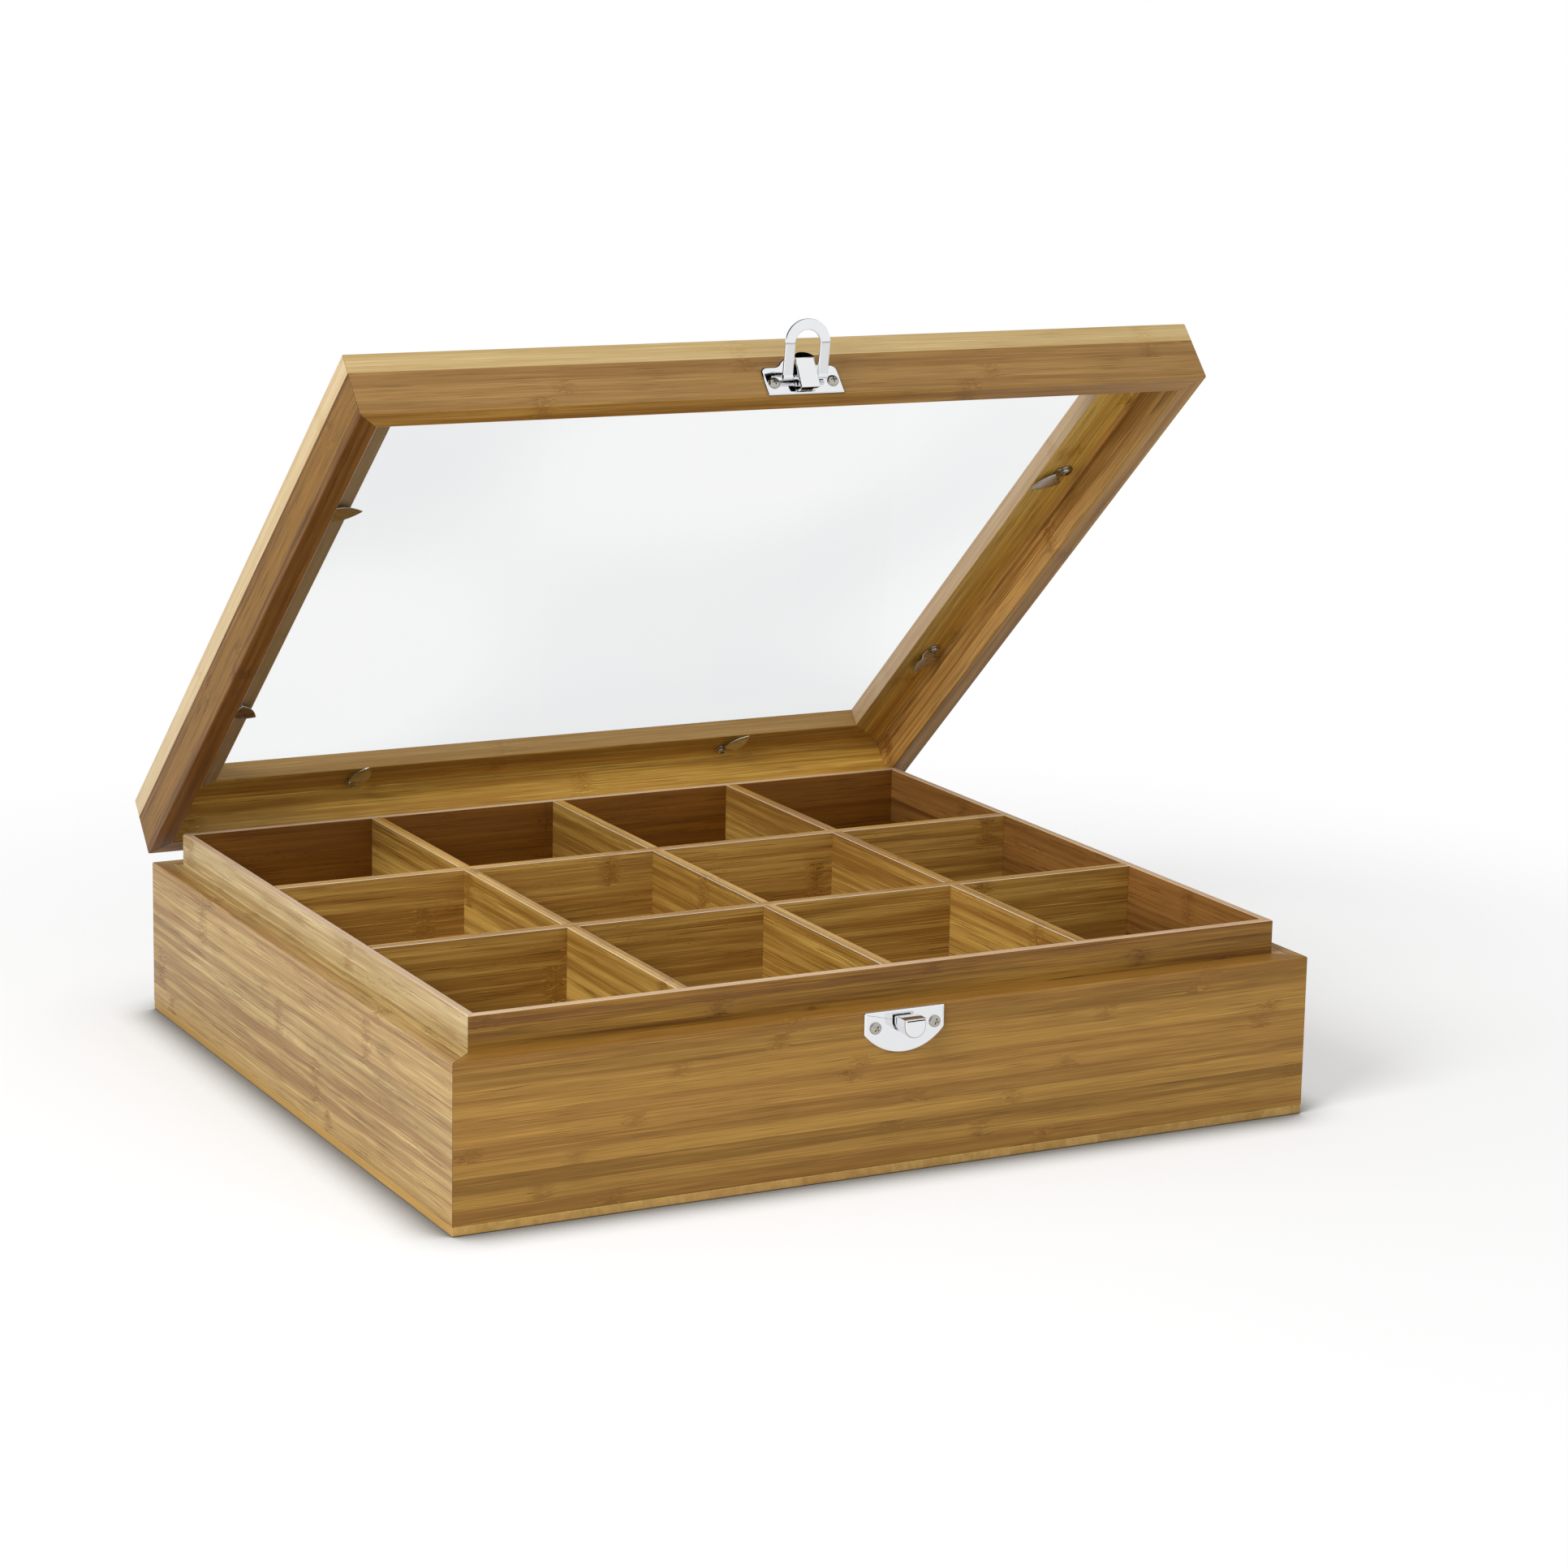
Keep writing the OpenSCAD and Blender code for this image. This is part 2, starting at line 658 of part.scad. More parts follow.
bottom_panel();
front_wall();
rear_wall();
wall(2);  // left_wall
wall(3);  // right_wall
liner(0);  // liner_front
liner(1);  // liner_rear
liner(2);  // liner_left
liner(3);  // liner_right
long_divider(1);  // long_divider_left
long_divider(2);  // long_divider_centre
long_divider(3);  // long_divider_right
cross_divider(1);  // cross_divider_front
cross_divider(2);  // cross_divider_rear
strike_plate();
strike_screws();
hinge_leaf(hinge_x, -1);  // hinge_left_base_leaf
hinge_leaf(-hinge_x, -1);  // hinge_right_base_leaf
on_open_lid() hinge_leaf(hinge_x, 1);  // hinge_left_lid_leaf
on_open_lid() hinge_leaf(-hinge_x, 1);  // hinge_right_lid_leaf
hinge_pin(hinge_x);  // hinge_left_pin
hinge_pin(-hinge_x);  // hinge_right_pin
hinge_base_screws();
hinge_lid_screws();
lid_rail_front();
lid_rail_rear();
lid_rail_left();
lid_rail_right();
glass_pane();
latch_plate();
latch_screws();
latch_lever_pin();
latch_lever();
latch_link();
turn_clip(clip_list[0]);  // turn_clip_front_left
turn_clip(clip_list[1]);  // turn_clip_front_right
turn_clip(clip_list[2]);  // turn_clip_rear_left
turn_clip(clip_list[3]);  // turn_clip_rear_right
turn_clip(clip_list[4]);  // turn_clip_left_front
turn_clip(clip_list[5]);  // turn_clip_left_rear
turn_clip(clip_list[6]);  // turn_clip_right_front
turn_clip(clip_list[7]);  // turn_clip_right_rear
turn_clip_screws();
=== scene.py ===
# Bamboo tea box: twelve compartments under a glazed lid that stands open on its rear hinges.
import itertools
import json
from math import acos, asin, atan2, cos, degrees, pi, radians, sin, sqrt, tan
from types import SimpleNamespace
import bmesh
import bpy
from mathutils import Matrix, Vector


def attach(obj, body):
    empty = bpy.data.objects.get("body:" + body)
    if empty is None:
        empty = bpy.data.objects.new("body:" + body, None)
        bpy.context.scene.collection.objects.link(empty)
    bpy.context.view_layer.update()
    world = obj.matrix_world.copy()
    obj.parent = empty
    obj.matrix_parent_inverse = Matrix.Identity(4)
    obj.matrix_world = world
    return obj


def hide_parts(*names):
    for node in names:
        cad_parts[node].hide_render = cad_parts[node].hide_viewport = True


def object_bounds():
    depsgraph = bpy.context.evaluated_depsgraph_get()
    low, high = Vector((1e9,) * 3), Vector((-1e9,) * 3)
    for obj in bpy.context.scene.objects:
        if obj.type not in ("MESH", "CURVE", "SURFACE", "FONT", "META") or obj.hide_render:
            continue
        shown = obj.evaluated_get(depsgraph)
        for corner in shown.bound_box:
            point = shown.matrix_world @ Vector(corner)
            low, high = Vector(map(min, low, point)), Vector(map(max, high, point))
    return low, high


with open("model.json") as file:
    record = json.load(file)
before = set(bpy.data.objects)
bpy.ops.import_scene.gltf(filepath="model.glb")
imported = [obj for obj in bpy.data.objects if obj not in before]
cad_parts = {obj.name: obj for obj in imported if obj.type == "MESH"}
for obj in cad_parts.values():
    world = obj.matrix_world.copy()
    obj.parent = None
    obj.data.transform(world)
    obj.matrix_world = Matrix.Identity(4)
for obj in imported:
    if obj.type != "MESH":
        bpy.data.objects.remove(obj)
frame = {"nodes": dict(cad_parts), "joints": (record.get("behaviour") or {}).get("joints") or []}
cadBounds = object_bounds()
print("frame loaded:", len(frame["nodes"]), "nodes")

mm = 0.001
# Sizes of the box and its lid in millimetres, as in the part's source
box = {
    "width": 340.0, "depth": 306.0, "wallTop": 60.0, "lidGap": 0.1, "bottom": 3.3,
    "wall": 9.5, "liner": 3.2, "linerTop": 72.5, "divider": 4.5, "dividerPlay": 0.1, "columns": 4, "rows": 3,
    "rim": 8.6, "ledge": 17.0, "rail": 25.5, "lidHeight": 25.0, "paneInset": 20.5, "pane": 2.0,
}
halfWidth, halfDepth = box["width"] / 2, box["depth"] / 2
lidJoint = next(j for j in frame["joints"] if j["name"] == "lid_hinge")
hingePoint = Vector(lidJoint["pos_m"])
openAngle = radians(-min(lidJoint["range_deg"]))
openLid = (Matrix.Translation(hingePoint) @ Matrix.Rotation(-openAngle, 4, "X")
    @ Matrix.Translation(-hingePoint))
# Front and rear faces: x along the face, y up from the joint, z out of the wood
joint = box["wallTop"] * mm
frontFace = Matrix(((1, 0, 0, 0), (0, 0, -1, -halfDepth * mm), (0, 1, 0, joint), (0, 0, 0, 1)))
rearFace = Matrix(((-1, 0, 0, 0), (0, 0, 1, halfDepth * mm), (0, 1, 0, joint), (0, 0, 0, 1)))


def turnBy(angle, axis="Z"):
    return Matrix.Rotation(radians(angle), 4, axis)


def linear(hexCode):
    steps = [int(hexCode[i:i + 2], 16) / 255 for i in (0, 2, 4)]
    return [s / 12.92 if s <= 0.04045 else ((s + 0.055) / 1.055) ** 2.4 for s in steps] + [1.0]


def shortForms(tree):
    # The makers that most trees use, bound to one tree
    def add(kind, wires=None, out=0, **settings):
        made = tree.nodes.new(kind)
        for key, value in settings.items():
            setattr(made, key, value)
        for key, value in (wires or {}).items():
            if isinstance(value, bpy.types.NodeSocket):
                tree.links.new(value, made.inputs[key])
            else:
                made.inputs[key].default_value = value
        return made if out is None or not made.outputs else made.outputs[out]

    def maths(operation, *values, **settings):
        return add("ShaderNodeMath", dict(enumerate(values)), operation=operation, **settings)

    def times(first, second):
        return maths("MULTIPLY", first, second)

    def vectors(operation, first, *others, out=0):
        wires = {"Scale": others[0]} if operation == "SCALE" else dict(enumerate(others, 1))
        return add("ShaderNodeVectorMath", {0: first, **wires}, out, operation=operation)

    def ranged(value, *limits, **settings):
        # limits are from low, from high, to low, to high
        return add("ShaderNodeMapRange", dict(enumerate((value,) + limits)), **settings)

    def eased(value, *limits):
        return ranged(value, *limits, interpolation_type="SMOOTHSTEP")

    def blend(share, first, second):
        return add("ShaderNodeMix", {0: share, 6: first, 7: second}, 2, data_type="RGBA")

    def split(vector):
        return add("ShaderNodeSeparateXYZ", {0: vector}, None).outputs

    def xyz(x=0.0, y=0.0, z=0.0):
        return add("ShaderNodeCombineXYZ", {0: x, 1: y, 2: z})

    def stretched(place, length, width):
        return vectors("MULTIPLY", place, (1 / length, 1 / width, 1 / width))

    def noise(place, length, width, detail, rough=0.5, out=0):
        # length and width are about those of its marks
        return add("ShaderNodeTexNoise", {"Vector": stretched(place, length, width), "Scale": 1.0,
            "Detail": detail, "Roughness": rough}, out)

    def surface(kind, wires):
        add("ShaderNodeOutputMaterial", {"Surface": add(kind, wires)})

    def position():
        return add("GeometryNodeInputPosition")

    def moved(geometry, place):
        return add("GeometryNodeSetPosition", {"Geometry": geometry, "Position": place})

    return SimpleNamespace(**locals())


def blankMaterial(name):
    material = bpy.data.materials.new(name)
    material.use_nodes = True
    material.node_tree.nodes.clear()
    return material, shortForms(material.node_tree)


# Carbonised laminated bamboo under a semi-gloss lacquer. Lamellae are 5 mm thick and about 20 mm wide:
# a face across their edges shows narrow straight strips, a flat face wide ones with short dark bundles.
# strip and deep are the lamellae's sizes, spread is how far their tones differ, streak how far one drifts;
# dash, line and knot are the strengths of bundles, pores and nodes. Each finish has the colours of its light
# wood, dark wood and pores, and what differs from the base.
bambooBase = {"strip": 6.0, "deep": 40, "spread": 0.9, "streak": 0.45, "dash": 0.3, "line": 0.6, "knot": 1.0,
    "rough": 0.42, "shine": 1.0}
lipBase = {"strip": 9, "deep": 14, "spread": 0.5, "line": 0.5, "knot": 0.7, "rough": 0.38}
bambooLooks = {
    "carbonisedBambooEdgeGrain": ("B38B3F", "855F23", "5F3D10", {"strip": 5.2, "spread": 1.1, "line": 0.7}),
    "carbonisedBambooFlatGrain": ("C7AD71", "947445", "62431C",
    {"strip": 15, "deep": 5.5, "spread": 1.1, "streak": 0.7, "dash": 0.9, "line": 0.75}),
    "bambooLinerStrip": ("A0792B", "5B3807", "301A02", {"strip": 7, "streak": 0.8, "line": 0.7, "rough": 0.45}),
    "bambooLinerFlat": ("DFCE9C", "AE9161", "816337",
    {"strip": 16, "deep": 5.5, "spread": 0.6, "dash": 0.9, "line": 0.7, "rough": 0.36}),
    # The liners' inner faces take darker copies of the liner colours: painted shade for the box's shaded
    # inside, deepest on the rear liner.
    "bambooLinerBrown": ("996B35", "5C3612", "351B05", {"strip": 16, "deep": 5.5, "dash": 0.8, "rough": 0.48}),
    "bambooLinerDark": ("7B4C12", "542F06", "321602", {"strip": 16, "deep": 5.5, "dash": 0.6, "rough": 0.48}),
    "bambooDividerBoard": ("D3AA55", "956C2A", "56360D",
    {"strip": 22, "streak": 0.7, "dash": 0.6, "line": 0.65, "knot": 1.3, "rough": 0.48}),
    "bambooDarkRail": ("896224", "42240B", "271303", {"strip": 4.2, "deep": 12, "spread": 1.7,
    "streak": 0.9, "dash": 0.5, "line": 0.8, "rough": 0.4, "shine": 0.45}),
    "bambooAmberRail": ("E3B163", "92632A", "573814",
    {"strip": 8.5, "deep": 12, "dash": 0.5, "line": 0.8, "rough": 0.4}),
    "bambooWarmRail": ("9A7B47", "7B5A2E", "543715", {"deep": 12, "line": 0.7, "rough": 0.4}),
    "bambooGoldenRail": ("FFD56A", "C7943F", "825B1F", {"strip": 9, "deep": 12, "line": 0.8, "rough": 0.4}),
    "bambooPaleLip": ("C8B586", "B19964", "8A6E3D", lipBase),
    "bambooGoldenLip": ("AF9867", "9B7F4C", "785B2D", {**lipBase, "spread": 0.7, "line": 0.6}),
    "bambooCreamLip": ("D0BB93", "BEA576", "957545", lipBase),
    "bambooPinkLip": ("D9BF99", "C2A47C", "9E7D54", {**lipBase, "spread": 0.6, "line": 0.6}),
    # Top faces of the liners and dividers: partly the real pale sanded edge, partly painted light from above
    # that makes them paler still.
    "sandedBambooEdge": ("DBC3A4", "C1A687", "8F7050",
    {"strip": 4, "deep": 3, "spread": 0.5, "dash": 0.4, "line": 0.4, "knot": 0.4, "rough": 0.55}),
    "sandedBambooPanel": ("D2A966", "B39150", "896937",
    {"strip": 12, "deep": 5, "spread": 0.6, "dash": 0.3, "line": 0.3, "knot": 0.3, "rough": 0.6}),
    "bambooGoldenRim": ("B98E46", "8A602A", "5A3B12",
    {"strip": 4.5, "streak": 0.7, "dash": 0.5, "rough": 0.38}),
    "bambooDarkRim": ("7A4F26", "4A2B0E", "281303",
    {"strip": 4.5, "streak": 0.8, "dash": 0.5, "rough": 0.34, "shine": 0.6}),
}
# Lengths along and across the fibres in mm. Pores are 0.1 mm wide in life and drawn wider, so that they show
bambooMarks = {"drift": (260, 11), "swirl": (6.25, 1 / 0.24), "streak": (150, 3.2), "fibre": (55, 0.55),
    "pore": (24, 0.3), "patch": (40, 5), "dash": (4.2, 0.95)}
# A culm has a node every 150 mm or so; each strip shows them at its own places
culmNode = {"spacing": 170.0, "reach": 7.0, "ringFrom": 0.25, "ringTo": 0.7, "ringTone": 0.22, "swirl": 3.6,
    "brown": 0.35}
warmTint, warmShare, paleBoost = "A9743A", 0.35, 1.35
lacquer = {"coat": 0.08, "coatRough": 0.2, "bend": 1.5, "specular": 0.22, "relief": 0.25,
    "reliefDepth": 0.00012}


def bambooMaterial(name, lightCode, darkCode, poreCode, changes):
    look, light = SimpleNamespace(**{**bambooBase, **changes}), linear(lightCode)
    material, t = blankMaterial(name)
    maths, times, ranged, marks, spacing = t.maths, t.times, t.ranged, bambooMarks, culmNode["spacing"]

    # grain holds millimetre-true places: along the fibres, across the board's face, into its depth
    grain = t.add("ShaderNodeAttribute", out="Vector", attribute_name="grain")
    place = t.vectors("SCALE", grain, 1000.0)
    along, across, deep = t.split(place)
    board = maths("ROUND", maths("DIVIDE", along, 1000.0))
    drift = t.noise(place, *marks["drift"], 1.0)
    drifted = maths("MULTIPLY_ADD", drift, look.strip * 0.55, across)
    stripPlace = maths("DIVIDE", drifted, look.strip)
    stripShare = maths("FRACT", stripPlace)
    deepNumber = maths("FLOOR", maths("DIVIDE", deep, look.deep))
    stripId = t.xyz(maths("FLOOR", stripPlace), deepNumber, board)
    chance = t.add("ShaderNodeTexWhiteNoise", {"Vector": stripId}, "Color")
    toneChance, shiftChance, hueChance = t.split(chance)

    shifted = maths("MULTIPLY_ADD", shiftChance, spacing, along)
    nodeShare = maths("FRACT", maths("DIVIDE", shifted, spacing))
    nodeAway = maths("ABSOLUTE", maths("SUBTRACT", nodeShare, 0.5))
    knot = t.eased(nodeAway, 0.0, culmNode["reach"] / spacing, look.knot, 0.0)
    ring = ranged(nodeAway, culmNode["ringFrom"] / spacing, culmNode["ringTo"] / spacing,
        culmNode["ringTone"] * look.knot, 0.0)

    # Fibres swirl round a node
    swirl = t.vectors("SUBTRACT", t.noise(place, *marks["swirl"], 2.0, out="Color"), (0.5, 0.5, 0.5))
    swirled = t.vectors("SCALE", swirl, times(knot, culmNode["swirl"]))
    fibre = t.vectors("ADD", place, swirled)
    broad = t.noise(fibre, *marks["streak"], 3.0, 0.55)
    fine = t.noise(fibre, *marks["fibre"], 3.0, 0.6)
    pores = t.noise(fibre, *marks["pore"], 1.0)
    patch = t.noise(fibre, *marks["patch"], 1.0)
    crowd = ranged(patch, 0.35, 0.68, -0.04, 0.11 * look.dash)
    poreLines = ranged(maths("ADD", pores, crowd), 0.58, 0.7, 0.0, look.line)
    # Vascular bundles cut at a slant: dashes 2 to 4 mm long
    dashAt = t.stretched(fibre, *marks["dash"])
    dashSpots = ranged(t.add("ShaderNodeTexVoronoi", {"Vector": dashAt, "Scale": 1.0}), 0.18, 0.4, 1.0, 0.0)
    patchShare = ranged(patch, 0.42, 0.62, 0.0, 0.6 * look.dash)
    nearKnot = maths("MULTIPLY_ADD", knot, 0.3, patchShare, use_clamp=True)
    dashes = times(dashSpots, nearKnot)

    # Tone of each strip, drifting along and across it
    toneCentred = maths("MULTIPLY_ADD", toneChance, look.spread, 0.5 - 0.5 * look.spread)
    browned = maths("MULTIPLY_ADD", knot, culmNode["brown"], toneCentred)
    tone = maths("ADD", browned, ranged(broad, 0.3, 0.7, -look.streak, look.streak), use_clamp=True)
    body = t.blend(tone, light, linear(darkCode))
    warmed = t.blend(times(hueChance, warmShare), body, linear(warmTint))
    # Pale fibres between the darker ones
    paleShare = ranged(fine, 0.44, 0.28, 0.0, 0.6 * look.line)
    paled = t.blend(paleShare, warmed, [min(1, paleBoost * c) for c in light])
    seam = ranged(stripShare, 0.0, 0.22 / look.strip, 0.3, 0.0)
    dark = ranged(fine, 0.35, 0.68, 0.0, 0.5 * look.line)
    for mark in (poreLines, dashes, seam, ring):
        dark = maths("MAXIMUM", dark, mark)
    bump = t.add("ShaderNodeBump", {"Strength": lacquer["relief"], "Distance": lacquer["reliefDepth"],
        "Height": times(dark, -1.0)})
    t.surface("ShaderNodeBsdfPrincipled", {
        "Base Color": t.blend(dark, paled, linear(poreCode)), "Normal": bump, "IOR": lacquer["bend"],
        "Roughness": ranged(fine, 0.3, 0.7, look.rough - 0.06, look.rough + 0.08),
        "Coat Weight": lacquer["coat"] * look.shine, "Coat Roughness": lacquer["coatRough"],
        "Specular IOR Level": lacquer["specular"] * look.shine})
    return material


bamboo = {name: bambooMaterial(name, *look) for name, look in bambooLooks.items()}
print("bamboo finishes made:", len(bamboo))


def storeGrain(mesh, toBoard, boardNumber):
    # toBoard turns the mesh's place into along, across, deep; boards stand 1 m apart along the fibres
    values = []
    for vertex in mesh.vertices:
        place = toBoard @ vertex.co
        values += [place.x + boardNumber, place.y, place.z]
    mesh.attributes.new("grain", "FLOAT_VECTOR", "POINT").data.foreach_set("vector", values)


def roundedSection(corners, steps=3):
    # corners are (depth, height, radius) in mm, counterclockwise; each becomes a small arc
    points = []
    for i, (x, y, radius) in enumerate(corners):
        here = Vector((x, y))
        before = (Vector(corners[i - 1][:2]) - here).normalized()
        after = (Vector(corners[(i + 1) % len(corners)][:2]) - here).normalized()
        if radius <= 0:
            points.append(here)
            continue
        half = acos(max(-1, min(1, before.dot(after)))) / 2
        reach = radius / tan(half)
        centre = here + (before + after).normalized() * (radius / sin(half))
        first, last = here + before * reach - centre, here + after * reach - centre
        turn = first.angle_signed(last)
        points += [centre + Matrix.Rotation(-turn * k / steps, 2) @ first for k in range(steps + 1)]
    return points


def linked(name, data):
    made = bpy.data.objects.new(name, data)
    bpy.context.scene.collection.objects.link(made)
    return made


def startTree(name, *numbers, seeded=False):
    # A tree that takes a start mesh, the named numbers, a seed where it draws lots, and a finish
    tree = bpy.data.node_groups.new(name, "GeometryNodeTree")
    sockets = [("start", "Geometry")] + [(label, "Float") for label in numbers]
    sockets += [("seed", "Int"), ("finish", "Material")] if seeded else [("finish", "Material")]
    for label, kind in sockets:
        tree.interface.new_socket(label, in_out="INPUT", socket_type="NodeSocket" + kind)
    tree.interface.new_socket("made", in_out="OUTPUT", socket_type="NodeSocketGeometry")
    t = shortForms(tree)
    return t, t.add("NodeGroupInput", out=None).outputs[:len(sockets)]


def joined(t, *parts):
    join = t.add("GeometryNodeJoinGeometry", out=None)
    for part in parts:
        t.tree.links.new(part, join.inputs[0])
    return join.outputs[0]


def endTree(t, geometry, finish, sharpDegrees):
    # Edges under the angle shade smooth
    edgeAngle = t.add("GeometryNodeInputMeshEdgeAngle", out="Unsigned Angle")
    soft = t.add("FunctionNodeCompare", {0: edgeAngle, 1: radians(sharpDegrees)},
        operation="LESS_THAN", data_type="FLOAT")
    real = t.add("GeometryNodeRealizeInstances", {"Geometry": geometry})
    smooth = t.add("GeometryNodeSetShadeSmooth", {"Geometry": real, "Shade Smooth": soft}, domain="EDGE")
    t.add("NodeGroupOutput", {0: t.add("GeometryNodeSetMaterial", {"Geometry": smooth, "Material": finish})})
    return t.tree


def buildBoardTree():
    # Sweeps a board's end section along x and cuts both ends to the mitre
    t, (section, length, mitre, finish) = startTree("mitredBoard", "length", "mitre")
    swept = t.add("GeometryNodeExtrudeMesh", {"Mesh": section, "Offset": (1, 0, 0), "Offset Scale": 1.0,
        "Individual": False}, mode="FACES")
    cap = t.add("GeometryNodeFlipFaces", {"Mesh": section})
    closed = t.add("GeometryNodeMergeByDistance", {"Geometry": joined(t, swept, cap), "Distance": 1e-6})
    alongX, depth, height = t.split(t.position())
    half = t.maths("SUBTRACT", t.times(length, 0.5), t.times(depth, mitre))
    placed = t.times(t.maths("MULTIPLY_ADD", alongX, 2.0, -1.0), half)
    return endTree(t, t.moved(closed, t.xyz(placed, depth, height)), finish, 20)


def grown(name, startMesh, tree, values):
    # Runs a tree on a mesh and keeps the result as a plain mesh
    carrier = linked(name + "Start", startMesh)
    modifier = carrier.modifiers.new("grow", "NODES")
    modifier.node_group = tree
    for socket in tree.interface.items_tree:
        if socket.in_out == "INPUT" and socket.name in values:
            modifier[socket.identifier] = values[socket.name]
    bpy.context.view_layer.update()
    evaluated = carrier.evaluated_get(bpy.context.evaluated_depsgraph_get())
    mesh = bpy.data.meshes.new_from_object(evaluated)
    mesh.name = name
    bpy.data.objects.remove(carrier)
    return linked(name, mesh)


def settle(piece, toWorld, body, slotName, *nodes):
    # Puts the place into the mesh and hands the piece to its body
    piece.data.transform(toWorld)
    piece.data.update()
    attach(piece, body)
    if nodes:
        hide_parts(*nodes)


def sectionMesh(points):
    # One face in the plane x = 0
    mesh = bpy.data.meshes.new("section")
    mesh.from_pydata([(0, y * mm, z * mm) for y, z in points], [], [list(range(len(points)))])
    return mesh


boardTree = buildBoardTree()
boardNumbers = itertools.count(1)
mitreGap, topFace = 0.12, 0.6


def mitredBoard(node, corners, side, inset, body, slotName, finish, others=()):
    # others lists (test of place and normal, finish) for faces of another cut; lid boards start at the joint
    width, depth = box["width"] - 2 * inset, box["depth"] - 2 * inset
    length, away = (width, depth) if side < 2 else (depth, width)
    piece = grown("board_" + node, sectionMesh(roundedSection(corners)), boardTree,
        {"length": (length - mitreGap) * mm, "mitre": 1.0, "finish": bamboo[finish]})
    mesh = piece.data
    for test, otherFinish in others:
        mesh.materials.append(bamboo[otherFinish])
        for polygon in mesh.polygons:
            if test(polygon.center / mm, polygon.normal):
                polygon.material_index = len(mesh.materials) - 1
    storeGrain(mesh, Matrix(((1, 0, 0), (0, 0, 1), (0, 1, 0))), next(boardNumbers))
    turn = turnBy((0, 180, -90, 90)[side])
    toWorld = turn @ Matrix.Translation((0, -away / 2 * mm, joint if body == "lid" else 0))
    settle(piece, openLid @ toWorld if body == "lid" else toWorld, body, slotName, node)


# Finishes in the order of the sides: front, rear, left, right
boardFinishes = {
    "wall": ("carbonisedBambooEdgeGrain", "carbonisedBambooEdgeGrain",
    "carbonisedBambooFlatGrain", "carbonisedBambooFlatGrain"),
    "liner": ("bambooLinerStrip", "bambooLinerStrip", "bambooLinerFlat", "bambooLinerFlat"),
    # inside: painted shade, darker finishes for the liners' inner faces
    "inside": ("bambooLinerBrown", "bambooLinerDark", "bambooLinerBrown", "bambooLinerBrown"),
    "rail": ("bambooWarmRail", "bambooGoldenRail", "bambooDarkRail", "bambooAmberRail"),
    "rim": ("bambooGoldenRim", "bambooGoldenRim", "bambooDarkRim", "bambooGoldenRim"),
    "ledge": ("bambooPaleLip", "bambooGoldenRail", "bambooCreamLip", "bambooGoldenRail"),
    "lip": ("bambooPaleLip", "bambooGoldenLip", "bambooCreamLip", "bambooPinkLip"),
}
arris = {"foot": 0.15, "wallInside": 0.1, "top": 0.6, "linerInside": 0.35, "rim": 0.6, "rebate": 0.4,
    "ledge": 0.25, "lip": 0.8, "divider": 0.2}
sideNames = ("front", "rear", "left", "right")
for side, name in enumerate(sideNames):
    finish = {part: names[side] for part, names in boardFinishes.items()}
    low, wall, liner, linerTop = (box[k] for k in ("bottom", "wall", "liner", "linerTop"))
    top = box["wallTop"] - box["lidGap"]
    mitredBoard(name + "_wall", [(0, low, arris["foot"]), (wall, low, 0), (wall, top, arris["wallInside"]),
        (0, top, arris["top"])], side, 0, "box", "honey_bamboo", finish["wall"])
    mitredBoard("liner_" + name, [(0, low, 0), (liner, low, 0), (liner, linerTop, arris["linerInside"]),
        (0, linerTop, arris["top"])], side, wall, "box", "liner_bamboo", finish["liner"],
        # inner faces take the painted-shade finish
        [(lambda c, n: n.y > topFace, finish["inside"]),
        # upward faces: sanded edge with painted top light
        (lambda c, n: n.z > topFace, "sandedBambooEdge")])
    rim, ledge, rail, high = (box[k] for k in ("rim", "ledge", "rail", "lidHeight"))
    mitredBoard("lid_rail_" + name, [(0, 0, arris["rim"]), (rim, 0, arris["rim"]),
        (rim, ledge, arris["rebate"]), (rail, ledge, arris["ledge"]), (rail, high, arris["lip"]),
        (0, high, arris["lip"]), (0, ledge, 0)], side, 0, "lid", "honey_bamboo", finish["rail"],
        [(lambda c, n: c.z > ledge + 0.1, finish["lip"]),
        (lambda c, n: c.z > 1 and n.z < -topFace, finish["ledge"]),
        (lambda c, n: c.z < 1 and n.z < -topFace, finish["rim"])])
print("mitred boards made:", 3 * len(sideNames))

# Dividers, halved into each other
insideWidth, insideDepth = (box[k] - 2 * (box["wall"] + box["liner"]) for k in ("width", "depth"))


def bevelled(form, edges, size, steps):
    bmesh.ops.bevel(form, geom=edges, offset=size * mm, segments=steps, profile=0.5, affect="EDGES")


def dividerPlaces(span, cells):
    cell = (span - (cells - 1) * box["divider"]) / cells
    return [-span / 2 + i * (cell + box["divider"]) - box["divider"] / 2 for i in range(1, cells)]


